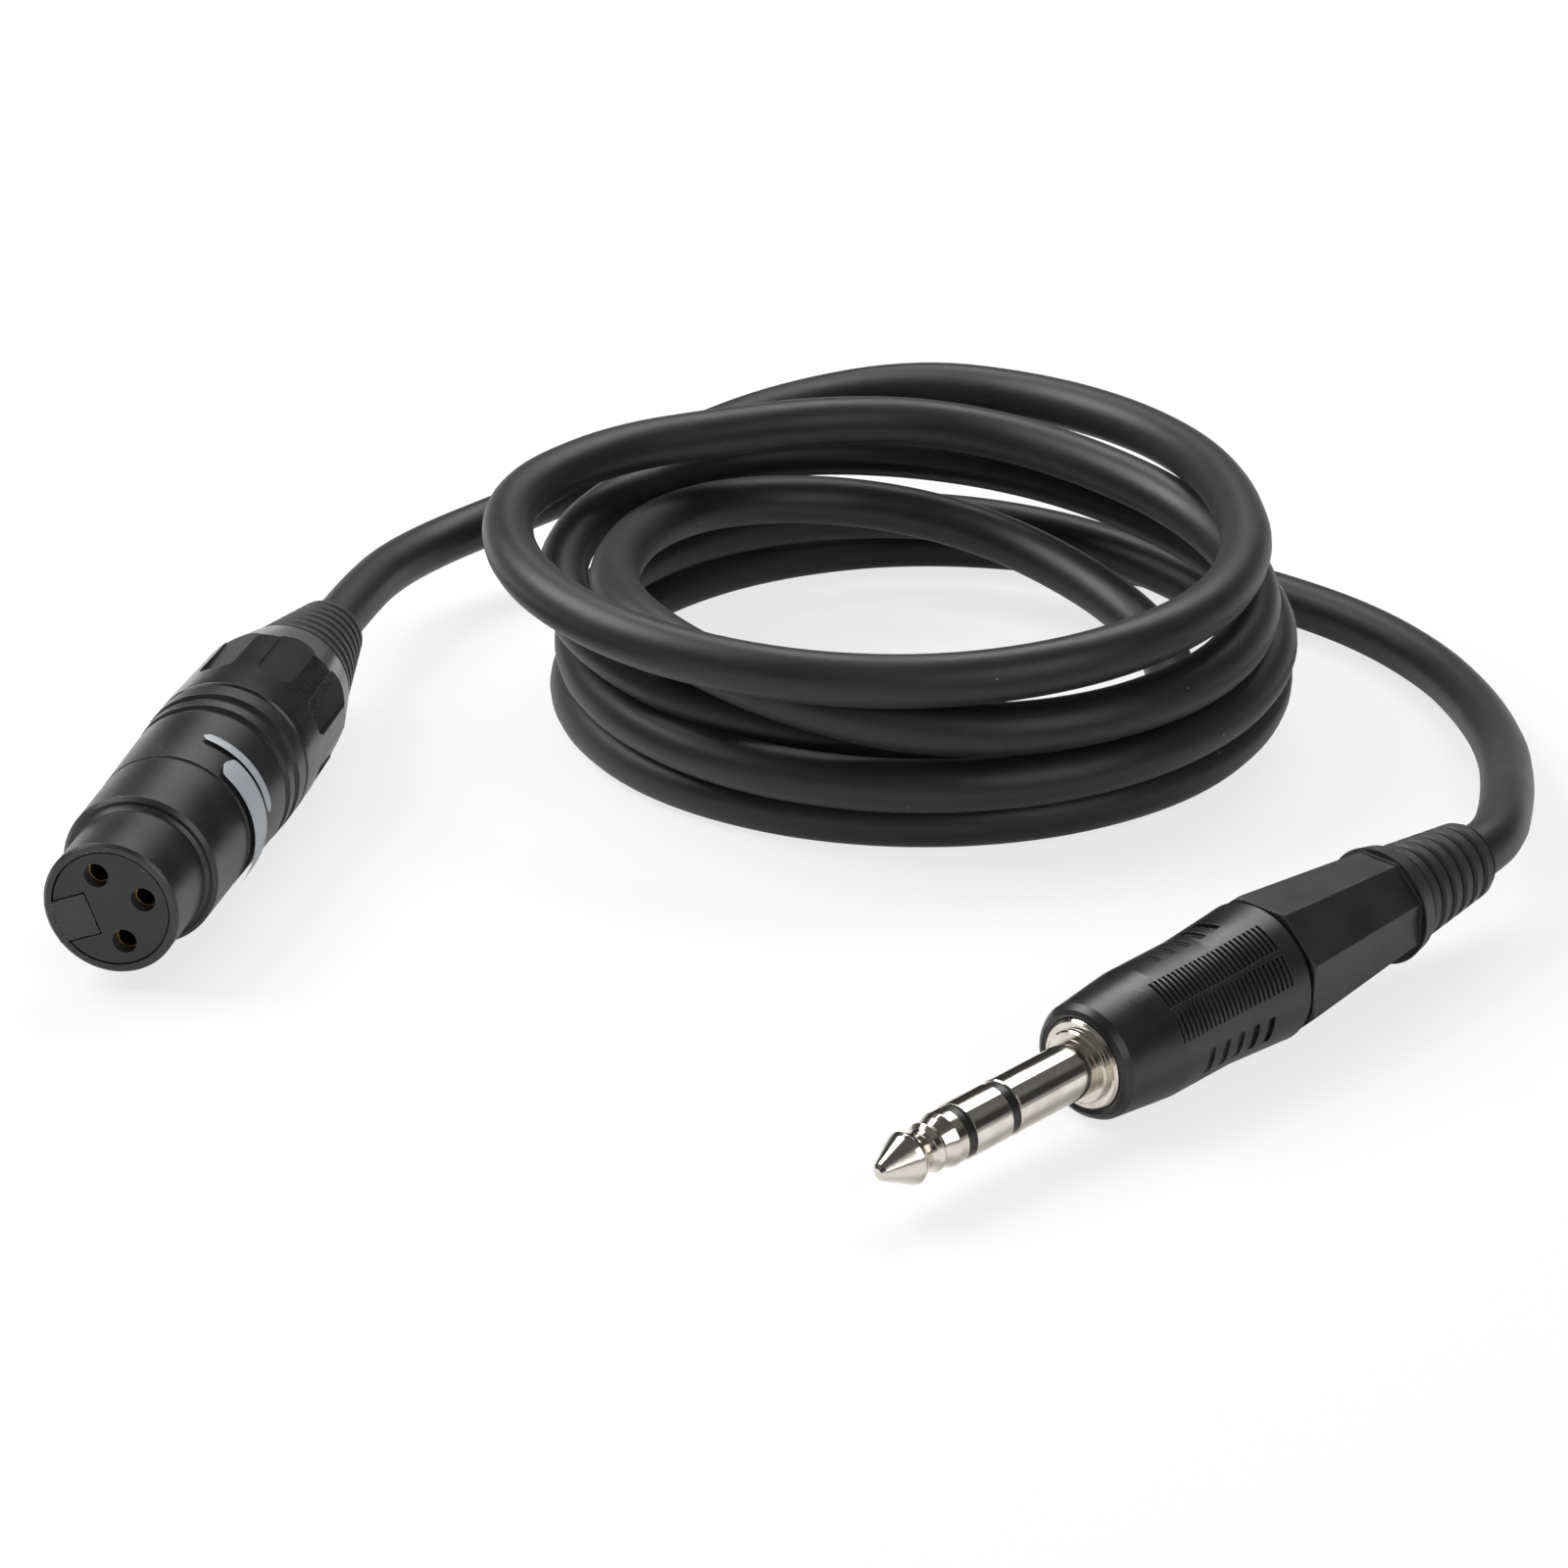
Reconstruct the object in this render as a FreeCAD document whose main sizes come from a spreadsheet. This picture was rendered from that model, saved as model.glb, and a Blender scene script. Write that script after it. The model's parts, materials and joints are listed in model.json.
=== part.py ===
import FreeCAD, Part
import math
import os
import re
import Sketcher

# Microphone cable, coiled on a flat surface: a female three-pole cable socket on one
# end and a 6.35 mm stereo jack plug on the other. Millimetres, Z up, floor at z = 0.
# Each connector is drawn along its own X axis, from its mating end (x = 0) back to the
# cable, and the placements at the end of this file lay it on the floor.

DOC = FreeCAD.newDocument("AudioCable")
SHEET = DOC.addObject("Spreadsheet::Sheet", "Sizes")

SIZES = {
    # cable
    "cable_radius": 3.25,
    "wire_radius": 0.6,
    "wire_circle": 1.5,
    # gaps between pieces
    "running_gap": 0.3,
    "seat_gap": 0.05,
    "seam_gap": 0.4,
    # socket
    "nose_radius": 8.0,
    "nose_wall": 1.0,
    "nose_length": 10.0,
    "nose_step": 1.3,
    "shell_swell": 0.8,
    "shell_length": 42.0,
    "shell_wall": 1.9,
    "thread_length": 7.0,
    "ring_line": 21.2,
    "groove_width": 1.1,
    "groove_spacing": 3.2,
    "groove_setback": 7.4,
    "insert_face": 0.1,
    "insert_length": 33.0,
    "insert_rim_gap": 0.2,
    "insert_rim_depth": 0.6,
    "contact_circle_radius": 4.2,
    "contact_bore_radius": 1.25,
    "contact_wall": 0.35,
    "contact_start": 1.6,
    "contact_bore_depth": 11.0,
    "contact_length": 34.5,
    "solder_cup_depth": 4.0,
    "key_width": 5.0,
    "key_depth": 3.2,
    "key_bottom": 2.4,
    "key_gap": 0.18,
    "channel_floor": 2.1,
    "latch_pivot_x": 30.0,
    "latch_pivot_depth": 2.2,
    "latch_pin_radius": 0.75,
    "latch_width": 6.0,
    "latch_thickness": 1.4,
    "latch_front": 6.0,
    "spring_leaf": 0.3,
    "tooth_length": 2.4,
    "tooth_width": 3.0,
    "tooth_reach": 0.06,
    "tab_front": 15.0,
    "tab_length": 9.5,
    "tab_width": 5.4,
    "tab_depth": 0.2,
    "window_margin": 0.6,
    "bushing_length": 24.6,
    "bushing_shoulder": 17.2,
    "bushing_shoulder_fall": 0.35,
    "bushing_end_radius": 8.1,
    "bushing_spigot_length": 6.5,
    "bushing_flat_distance": 9.3,
    "bushing_flat_width": 4.6,
    "bushing_flat_setback": 5.8,
    "boot_length": 17.3,
    "boot_front_radius": 7.8,
    "boot_end_wall": 1.35,
    "boot_rings": 7,
    "ring_depth": 0.55,
    "neck_wall": 0.55,
    "neck_length": 6.5,
    "neck_flange": 0.8,
    "mouth_length": 4.0,
    "chuck_setback": 4.1,
    "chuck_length": 13.5,
    "chuck_wall": 2.15,
    "chuck_end_wall": 1.15,
    "chuck_slot": 1.0,
    "chuck_gap": 0.5,
    # plug
    "plug_radius": 3.175,
    "tip_radius": 2.95,
    "tip_widest": 4.3,
    "tip_neck_radius": 2.15,
    "tip_neck_place": 6.2,
    "tip_length": 10.6,
    "front_insulator": 1.2,
    "plug_ring_length": 5.4,
    "rear_insulator": 1.3,
    "insulator_recess": 0.2,
    "sleeve_length": 12.5,
    "collar_radius": 5.2,
    "collar_step_radius": 4.2,
    "collar_thickness": 1.5,
    "barrel_length": 17.5,
    "barrel_floor": 4.0,
    "barrel_wall": 0.9,
    "tip_rod_radius": 0.8,
    "inner_tube_radius": 1.3,
    "ring_tube_radius": 1.8,
    "outer_tube_radius": 2.3,
    "stack_setback": 6.5,
    "front_washer": 1.2,
    "front_washer_radius": 3.6,
    "ring_lug": 0.8,
    "ring_lug_radius": 3.0,
    "rear_washer": 2.0,
    "rear_washer_radius": 2.2,
    "tip_lug": 1.0,
    "tip_lug_radius": 2.0,
    "lug_tongue_length": 14.0,
    "clamp_width": 2.8,
    "clamp_strip": 0.6,
    "clamp_gap": 1.45,
    "grip_length": 28.6,
    "grip_front_radius": 6.2,
    "grip_radius": 7.5,
    "grip_end_radius": 8.2,
    "rib_setback": 8.1,
    "rib_pitch": 0.72,
    "rib_count": 25,
    "rib_depth": 0.42,
    "rib_turn": 15.5,
    "rib_panel_width": 3.6,
    "short_groove_pitch": 2.4,
    "short_grooves": 5,
    "cap_length": 23.6,
    "cap_radius": 8.7,
    "cap_end_radius": 6.6,
    "cap_flat_distance": 7.95,
    "cap_flat_end_distance": 6.1,
    "cap_spigot_length": 6.0,
    "cap_spigot_wall": 0.8,
    "tail_length": 13.4,
    "tail_front_radius": 6.0,
    "tail_end_wall": 1.35,
    "tail_rings": 6,
    "plug_chuck_setback": 2.1,
    "plug_chuck_length": 12.0,
    "plug_chuck_wall": 1.65,
    "plug_chuck_end_wall": 0.95,
    "plug_chuck_gap": 0.4,
    "stripped_length": 4.5,
    # coil, seen from above: two stacked rings
    "coil_x": 18.78,
    "coil_y": 70.27,
    "coil_outer_radius": 50.2,
    "coil_inner_radius": 41.0,
    "coil_height": 19.5,
    "coil_top_x": 14.48,
    "coil_top_y": 70.07,
    "coil_top_outer_radius": 51.0,
    "coil_top_inner_radius": 38.0,
    "coil_top_height": 31.0,
    "coil_overlap": 3.0,
    "coil_rounding": 3.2,
    # where the connectors lie
    "socket_x": -74.92,
    "socket_y": -14.56,
    "socket_rise": 0.0,
    "socket_turn": 78.4,
    "socket_roll": -110.0,
    "plug_x": 10.38,
    "plug_y": -68.83,
    "plug_rise": 0.035,
    "plug_turn": 44.8,
    "plug_roll": 46.0,
}

# Sizes and places that follow from those above, so that pieces that meet share them.
# Places along a connector count back from its mating end.
DERIVED = {
    "nose_bore_radius": "nose_radius - nose_wall",
    "shell_step_radius": "nose_radius + nose_step",
    "shell_radius": "shell_step_radius + shell_swell",
    "thread_bore_radius": "shell_radius - shell_wall",
    "thread_start": "shell_length - thread_length",
    "groove_front": "shell_length - groove_setback",
    "groove_rear": "groove_front + groove_spacing",
    "contact_radius": "contact_bore_radius + contact_wall",
    "channel_width": "latch_width + 2 * running_gap",
    "latch_pivot_z": "nose_bore_radius - latch_pivot_depth",
    "latch_top": "latch_pivot_z + latch_thickness / 2",
    "latch_under": "latch_pivot_z - latch_thickness / 2",
    "tooth_top": "nose_radius + tooth_reach",
    "tab_top": "shell_radius - tab_depth",
    "neck_radius": "cable_radius + running_gap + neck_wall",
    "mouth_radius": "neck_radius + running_gap",
    "bushing_front": "shell_length + seam_gap",
    "bushing_end": "bushing_front + bushing_length",
    "bushing_flat_start": "bushing_front + bushing_flat_setback",
    "boot_front": "bushing_end + running_gap",
    "boot_end_radius": "cable_radius + boot_end_wall",
    "boot_end": "boot_front + boot_length",
    "chuck_front": "bushing_front + chuck_setback",
    "chuck_radius": "cable_radius + chuck_wall",
    "chuck_end_radius": "cable_radius + chuck_end_wall",
    "bushing_bore_radius": "chuck_radius + chuck_gap",
    "socket_cable_start": "chuck_front - 3",
    "ring_front": "tip_length + front_insulator",
    "ring_end": "ring_front + plug_ring_length",
    "sleeve_front": "ring_end + rear_insulator",
    "collar_front": "sleeve_front + sleeve_length",
    "collar_back": "collar_front + collar_thickness",
    "barrel_bore_radius": "cable_radius + clamp_gap",
    "barrel_radius": "barrel_bore_radius + barrel_wall",
    "barrel_end": "collar_back + barrel_length",
    "stack_front": "collar_back + stack_setback",
    "ring_lug_front": "stack_front + front_washer",
    "ring_lug_back": "ring_lug_front + ring_lug",
    "tip_lug_front": "ring_lug_back + rear_washer",
    "tip_lug_back": "tip_lug_front + tip_lug",
    "lug_end": "stack_front + lug_tongue_length",
    "grip_front": "collar_front + seam_gap",
    "grip_end": "grip_front + grip_length",
    "rib_start": "grip_front + rib_setback",
    "cap_front": "grip_end + seam_gap",
    "cap_end": "cap_front + cap_length",
    "tail_front": "cap_end + running_gap",
    "tail_end_radius": "cable_radius + tail_end_wall",
    "tail_end": "tail_front + tail_length",
    "plug_height": "grip_end_radius - plug_rise * (grip_end - 0.5)",
    "plug_chuck_front": "cap_front + plug_chuck_setback",
    "plug_chuck_radius": "cable_radius + plug_chuck_wall",
    "plug_chuck_end_radius": "cable_radius + plug_chuck_end_wall",
    "cap_bore_radius": "plug_chuck_radius + plug_chuck_gap",
    "cap_spigot_radius": "cap_bore_radius + cap_spigot_wall",
    "plug_cable_start": "plug_chuck_front - stripped_length",
    "clamp_front": "plug_cable_start + 1",
    "clamp_back": "clamp_front + clamp_width",
}

for row, (alias, size) in enumerate(SIZES.items(), start=1):
    SHEET.set("A%d" % row, alias)
    SHEET.set("B%d" % row, str(size))
    SHEET.setAlias("B%d" % row, alias)
DOC.recompute()

NODES = []


def bound(text):
    """The same sum with each word pointing at its cell, and derived words worked out."""
    def cell(match):
        word = match.group(0)
        return "(%s)" % bound(DERIVED[word]) if word in DERIVED else "Sizes." + word
    return re.sub(r"[A-Za-z_]\w*", cell, str(text))


def value(text):
    """The number that a sum of sheet words comes to now."""
    result = SHEET.evalExpression(bound(text))
    return float(getattr(result, "Value", result))


def bind(obj, prop, text):
    """Give a property its size and tie it to the sheet."""
    setattr(obj, prop, value(text))
    obj.setExpression(prop, bound(text))


def part_body(name):
    body = DOC.addObject("PartDesign::Body", name)
    body.Label = name
    NODES.append(body)
    return body


def origin_item(body, role):
    return next(item for item in body.Origin.OriginFeatures if item.Role == role)


def new_sketch(body, name, plane, offset="0", turn=0.0):
    """A sketch on one of the body's own planes, moved along its normal, turned about X."""
    sketch = body.newObject("Sketcher::SketchObject", name)
    sketch.AttachmentSupport = (origin_item(body, plane), [""])
    sketch.MapMode = "FlatFace"
    if turn:
        spin = FreeCAD.Rotation(FreeCAD.Vector(1, 0, 0), turn)
        sketch.AttachmentOffset = FreeCAD.Placement(FreeCAD.Vector(0, 0, 0), spin)
    if offset != "0":
        sketch.setExpression("AttachmentOffset.Base.z", bound(offset))
    return sketch


def tie(sketch, index, axis, number, text):
    """Hold one coordinate of a line's start point, by the sheet where it isn't zero."""
    if abs(number) < 1e-9:
        sketch.addConstraint(Sketcher.Constraint("PointOnObject", index, 1, -2 if axis == "X" else -1))
        return
    ends = (-1, 1, index, 1) if number > 0 else (index, 1, -1, 1)
    place = sketch.addConstraint(Sketcher.Constraint("Distance" + axis, *ends, abs(number)))
    signed = bound(text) if number > 0 else "-(%s)" % bound(text)
    sketch.setExpression("Constraints[%d]" % place, signed)


def draw_outline(sketch, corners):
    """A closed outline of straight sides through corners given as sums of sheet words."""
    spots = [(value(across), value(along)) for across, along in corners]
    first = sketch.GeometryCount
    count = len(spots)
    for index in range(count):
        start = FreeCAD.Vector(*spots[index], 0)
        end = FreeCAD.Vector(*spots[(index + 1) % count], 0)
        sketch.addGeometry(Part.LineSegment(start, end), False)
    joins = []
    for index in range(count):
        after = first + (index + 1) % count
        joins.append(Sketcher.Constraint("Coincident", first + index, 2, after, 1))
    sketch.addConstraint(joins)
    for index in range(count):
        tie(sketch, first + index, "X", spots[index][0], corners[index][0])
        tie(sketch, first + index, "Y", spots[index][1], corners[index][1])


def draw_circle(sketch, across, along, radius):
    centre = FreeCAD.Vector(value(across), value(along), 0)
    index = sketch.addGeometry(Part.Circle(centre, FreeCAD.Vector(0, 0, 1), value(radius)), False)
    place = sketch.addConstraint(Sketcher.Constraint("Radius", index, value(radius)))
    sketch.setExpression("Constraints[%d]" % place, bound(radius))
    for axis, number, text in (("X", centre.x, across), ("Y", centre.y, along)):
        if abs(number) < 1e-9:
            side = -2 if axis == "X" else -1
            sketch.addConstraint(Sketcher.Constraint("PointOnObject", index, 3, side))
            continue
        ends = (-1, 1, index, 3) if number > 0 else (index, 3, -1, 1)
        place = sketch.addConstraint(Sketcher.Constraint("Distance" + axis, *ends, abs(number)))
        signed = bound(text) if number > 0 else "-(%s)" % bound(text)
        sketch.setExpression("Constraints[%d]" % place, signed)


def box_corners(low_x, high_x, low_y, high_y):
    return [(low_x, low_y), (high_x, low_y), (high_x, high_y), (low_x, high_y)]


def turned(body, name, corners, cut=False):
    """A profile of (distance along X, radius) spun about the X axis."""
    sketch = new_sketch(body, name + "_outline", "XY_Plane")
    draw_outline(sketch, corners)
    kind = "PartDesign::Groove" if cut else "PartDesign::Revolution"
    feature = body.newObject(kind, name)
    feature.Profile = sketch
    feature.ReferenceAxis = (origin_item(body, "X_Axis"), [""])
    feature.Angle = 360.0
    DOC.recompute()
    return feature


def slab(body, name, corners, low, high, cut=False, turn=0.0):
    """An outline seen from above, added or cut between two heights, turned about X."""
    sketch = new_sketch(body, name + "_outline", "XY_Plane", turn=turn)
    if turn == 0.0:
        sketch.setExpression("AttachmentOffset.Base.z", bound(low))
    else:
        lift = FreeCAD.Rotation(FreeCAD.Vector(1, 0, 0), turn)
        base = lift.multVec(FreeCAD.Vector(0, 0, value(low)))
        sketch.AttachmentOffset = FreeCAD.Placement(base, lift)
    draw_outline(sketch, corners)
    feature = body.newObject("PartDesign::Pocket" if cut else "PartDesign::Pad", name)
    feature.Profile = sketch
    feature.Type = 0
    feature.Reversed = cut
    bind(feature, "Length", "(%s) - (%s)" % (high, low))
    DOC.recompute()
    return feature


def drilled(body, name, holes, radius, start, depth, cut=True):
    """Round holes or posts along X at (y, z) places, between two distances from the face."""
    sketch = new_sketch(body, name + "_outline", "YZ_Plane", offset=start)
    for across, along in holes:
        draw_circle(sketch, across, along, radius)
    feature = body.newObject("PartDesign::Pocket" if cut else "PartDesign::Pad", name)
    feature.Profile = sketch
    feature.Type = 0
    feature.Reversed = cut
    bind(feature, "Length", depth)
    DOC.recompute()
    return feature


def spread(body, name, features, count):
    """Repeat features evenly round the X axis."""
    pattern = body.newObject("PartDesign::PolarPattern", name)
    pattern.Originals = features
    pattern.Axis = (origin_item(body, "X_Axis"), [""])
    pattern.Angle = 360.0
    pattern.Occurrences = count
    body.Tip = pattern
    DOC.recompute()
    return pattern


def ring_profile(front, end, front_radius, end_radius, rings, bore):
    """A tapered ribbed sleeve: ribs a little proud of the grooves between them."""
    corners = [(front, bore)]
    length = "(%s - (%s))" % (end, front)
    fall = "(%s - %s)" % (front_radius, end_radius)
    count = int(value(rings))
    for index in range(count):
        for share, depth in ((0.0, "0.5 * ring_depth"), (0.12, "0"), (0.62, "0"),
                             (0.74, "ring_depth"), (0.94, "ring_depth")):
            place = "(%d + %s) / %d" % (index, share, count)
            corners.append(("%s + %s * %s" % (front, length, place),
                            "%s - %s * %s - %s" % (front_radius, fall, place, depth)))
    corners.append((end, "%s - 0.3" % end_radius))
    corners.append((end, bore))
    return corners


def cable_run(name, points, radius, report=True):
    """A round tube along straight runs joined by tangent arcs, each as large as fits."""
    spots = [FreeCAD.Vector(*point) for point in points]
    edges = []
    start = spots[0]
    radii = []
    for index in range(1, len(spots) - 1):
        before = spots[index] - spots[index - 1]
        after = spots[index + 1] - spots[index]
        turn = before.getAngle(after)
        reach = 0.45 * min(before.Length, after.Length)
        radii.append(reach / math.tan(turn / 2))
        before.normalize()
        after.normalize()
        enter = spots[index] - before * reach
        leave = spots[index] + after * reach
        middle = spots[index] + (after - before).normalize() * (
            radii[-1] / math.cos(turn / 2) - radii[-1])
        edges.append(Part.LineSegment(start, enter).toShape())
        edges.append(Part.Arc(enter, middle, leave).toShape())
        start = leave
    edges.append(Part.LineSegment(start, spots[-1]).toShape())
    path = Part.Wire(edges)
    heading = (spots[1] - spots[0]).normalize()
    section = Part.Wire([Part.Circle(spots[0], heading, radius).toShape()])
    tube = path.makePipeShell([section], True, False)
    expected = math.pi * radius * radius * path.Length
    if report:
        print("%s: length %.1f mm, radii %s, volume %.4f of section x length" % (
            name, path.Length, [round(r, 1) for r in radii], tube.Volume / expected))
    feature = DOC.addObject("Part::Feature", name)
    feature.Label = name
    feature.Shape = tube
    NODES.append(feature)
    return feature


# ---- socket -----------------------------------------------------------------

def xlr_shell():
    body = part_body("xlr_shell")
    turned(body, "ShellTurned", [
        ("0", "nose_bore_radius"),
        ("0", "nose_radius - 0.35"),
        ("0.35", "nose_radius"),
        ("nose_length - 0.4", "nose_radius"),
        ("nose_length", "nose_radius + 0.4"),
        ("nose_length", "shell_step_radius - 0.5"),
        ("nose_length + 0.5", "shell_step_radius"),
        ("ring_line - 0.1", "shell_step_radius + 0.15"),
        ("ring_line", "shell_step_radius - 0.05"),
        ("ring_line + 0.4", "shell_step_radius - 0.05"),
        ("ring_line + 0.5", "shell_step_radius + 0.2"),
        ("groove_front - 0.3", "shell_radius - 0.25"),
        ("groove_front", "shell_radius - 0.75"),
        ("groove_front + groove_width", "shell_radius - 0.75"),
        ("groove_front + groove_width + 0.3", "shell_radius - 0.15"),
        ("groove_rear - 0.3", "shell_radius - 0.1"),
        ("groove_rear", "shell_radius - 0.65"),
        ("groove_rear + groove_width", "shell_radius - 0.65"),
        ("groove_rear + groove_width + 0.3", "shell_radius"),
        ("shell_length - 0.3", "shell_radius"),
        ("shell_length", "shell_radius - 0.3"),
        ("shell_length", "thread_bore_radius"),
        ("thread_start", "thread_bore_radius"),
        ("thread_start", "nose_bore_radius"),
    ])
    half_window = "tooth_width / 2 + window_margin / 2"
    slab(body, "ToothWindow", box_corners(
        "latch_front - 0.5", "latch_front + tooth_length + 0.8",
        "-(%s)" % half_window, half_window), "latch_pivot_z", "nose_radius + 1", cut=True)
    half_window = "tab_width / 2 + window_margin"
    slab(body, "TabWindow", box_corners(
        "tab_front - window_margin", "tab_front + tab_length + window_margin",
        "-(%s)" % half_window, half_window), "latch_pivot_z", "shell_radius + 1", cut=True)
    slab(body, "KeyBlock", [
        ("0.1", "-key_width / 2"),
        ("key_depth", "-key_width / 2"),
        ("key_depth", "key_width / 2"),
        ("0.1", "key_width / 2"),
    ], "key_bottom", "nose_radius - 0.5")
    return body


def xlr_insert():
    body = part_body("xlr_insert")
    turned(body, "InsertTurned", [
        ("insert_face", "0"),
        ("insert_face", "nose_bore_radius - insert_rim_gap"),
        ("insert_face + insert_rim_depth", "nose_bore_radius - insert_rim_gap"),
        ("insert_face + insert_rim_depth", "nose_bore_radius - seat_gap"),
        ("insert_length", "nose_bore_radius - seat_gap"),
        ("insert_length", "0"),
    ])
    circle = "contact_circle_radius"
    places = [(circle, "0"), ("-" + circle, "0"), ("0", "-" + circle)]
    drilled(body, "ContactHoles", places, "contact_radius", "contact_start", "insert_length")
    drilled(body, "ContactMouths", places, "contact_bore_radius + 0.2", "0", "insert_length")
    half_key = "key_width / 2 + key_gap"
    slab(body, "KeyNotch", box_corners("0", "key_depth + key_gap", "-(%s)" % half_key, half_key),
         "key_bottom - key_gap", "nose_radius", cut=True)
    half = "(channel_width) / 2"
    slab(body, "LatchChannel", box_corners("latch_front - 0.7", "insert_length - 1",
                                            "-(%s)" % half, half),
         "channel_floor", "nose_radius", cut=True)
    sketch = new_sketch(body, "PinHole_outline", "XZ_Plane")
    draw_circle(sketch, "latch_pivot_x", "latch_pivot_z", "latch_pin_radius")
    hole = body.newObject("PartDesign::Pocket", "PinHole")
    hole.Profile = sketch
    hole.Type = 1
    hole.Midplane = True
    DOC.recompute()
    return body


def xlr_contact(number, across, along):
    """A turned socket contact: bored front, waisted body, solder cup behind."""
    body = part_body("xlr_contact_%d" % number)
    turned(body, "Contact%dTurned" % number, [
        ("contact_start", "contact_bore_radius"),
        ("contact_start", "contact_radius"),
        ("contact_start + contact_bore_depth + 2", "contact_radius"),
        ("contact_start + contact_bore_depth + 3", "contact_radius - 0.5"),
        ("contact_length - 6", "contact_radius - 0.5"),
        ("contact_length - 5", "contact_radius - 0.2"),
        ("contact_length", "contact_radius - 0.2"),
        ("contact_length", "wire_radius + 0.1"),
        ("contact_length - solder_cup_depth", "wire_radius + 0.1"),
        ("contact_length - solder_cup_depth", "0"),
        ("contact_start + contact_bore_depth", "0"),
        ("contact_start + contact_bore_depth", "contact_bore_radius"),
    ])
    return body, FreeCAD.Vector(0, value(across), value(along))


def xlr_ground_spring():
    """A thin leaf behind the insert that ties the first contact to the shell."""
    body = part_body("xlr_ground_spring")
    inner = "contact_circle_radius - contact_radius"
    slab(body, "LeafFlat", box_corners("insert_length", "insert_length + 0.5",
                                       inner, "nose_bore_radius - 0.45"), "-1.6", "1.6")
    slab(body, "LeafFoot", box_corners("insert_length", "insert_length + 1.8",
                                       "nose_bore_radius - 0.6", "nose_bore_radius - seat_gap"),
         "-0.6", "0.6")
    drilled(body, "LeafHole", [("contact_circle_radius", "0")], "contact_radius - 0.2",
            "insert_length - 1", "3")
    return body


def latch_lever():
    body = part_body("latch_lever")
    eye = "latch_pin_radius + 0.75"
    half = "latch_width / 2"
    slab(body, "LeverBar", box_corners("latch_front", "latch_pivot_x", "-" + half, half),
         "latch_under", "latch_top")
    sketch = new_sketch(body, "Eye_outline", "XZ_Plane")
    draw_circle(sketch, "latch_pivot_x", "latch_pivot_z", eye)
    knuckle = body.newObject("PartDesign::Pad", "Eye")
    knuckle.Profile = sketch
    knuckle.Midplane = True
    bind(knuckle, "Length", "latch_width")
    DOC.recompute()
    half = "tooth_width / 2"
    slab(body, "Tooth", [
        ("latch_front", "-" + half),
        ("latch_front + tooth_length", "-" + half),
        ("latch_front + tooth_length", half),
        ("latch_front", half),
    ], "latch_top", "tooth_top")
    half = "tab_width / 2"
    slab(body, "Tab", box_corners("tab_front", "tab_front + tab_length", "-" + half, half),
         "latch_top", "tab_top")
    for step in range(4):
        start = "tab_front + %s" % (1.6 + 1.8 * step)
        slab(body, "TabGroove%d" % step, box_corners(start, start + " + 0.7", "-4", "4"),
             "tab_top - 0.35", "tab_top + 1", cut=True)
    sketch = new_sketch(body, "EyeHole_outline", "XZ_Plane")
    draw_circle(sketch, "latch_pivot_x", "latch_pivot_z", "latch_pin_radius + seat_gap")
    hole = body.newObject("PartDesign::Pocket", "EyeHole")
    hole.Profile = sketch
    hole.Type = 1
    hole.Midplane = True
    DOC.recompute()
    return body


def latch_pin():
    body = part_body("latch_pin")
    sketch = new_sketch(body, "Pin_outline", "XZ_Plane")
    draw_circle(sketch, "latch_pivot_x", "latch_pivot_z", "latch_pin_radius")
    pin = body.newObject("PartDesign::Pad", "Pin")
    pin.Profile = sketch
    pin.Midplane = True
    bind(pin, "Length", "channel_width + 1.6")
    DOC.recompute()
    return body


def latch_spring():
    """A bent leaf that stands on the channel floor and lifts the lever."""
    body = part_body("latch_spring")
    sketch = new_sketch(body, "Leaf_outline", "XZ_Plane")
    draw_outline(sketch, [
        ("latch_pivot_x - 3", "channel_floor"),
        ("latch_pivot_x - 3", "channel_floor + spring_leaf"),
        ("latch_pivot_x - 8", "channel_floor + spring_leaf"),
        ("latch_pivot_x - 15.5", "latch_under"),
        ("latch_pivot_x - 17", "latch_under"),
        ("latch_pivot_x - 17", "latch_under - spring_leaf"),
        ("latch_pivot_x - 15.6", "latch_under - spring_leaf"),
        ("latch_pivot_x - 8.1", "channel_floor"),
    ])
    leaf = body.newObject("PartDesign::Pad", "Leaf")
    leaf.Profile = sketch
    leaf.Midplane = True
    bind(leaf, "Length", "latch_width - 2")
    DOC.recompute()
    return body


def chuck(name, front, length, radius, end_radius, slots=4):
    """A slit collet that the bushing squeezes onto the cable."""
    body = part_body(name)
    turned(body, name + "Turned", [
        (front, "cable_radius"),
        (front, radius + " - 0.4"),
        ("%s + 0.4" % front, radius),
        ("%s + 0.6 * %s" % (front, length), radius),
        ("%s + %s" % (front, length), end_radius),
        ("%s + %s" % (front, length), "cable_radius"),
    ])
    half = "chuck_slot / 2"
    slot = slab(body, name + "Slot", box_corners(
        "%s + 2" % front, "%s + %s + 1" % (front, length), "-" + half, half),
        "cable_radius - 1", radius + " + 1", cut=True)
    spread(body, name + "Slots", [slot], slots)
    return body


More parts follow.
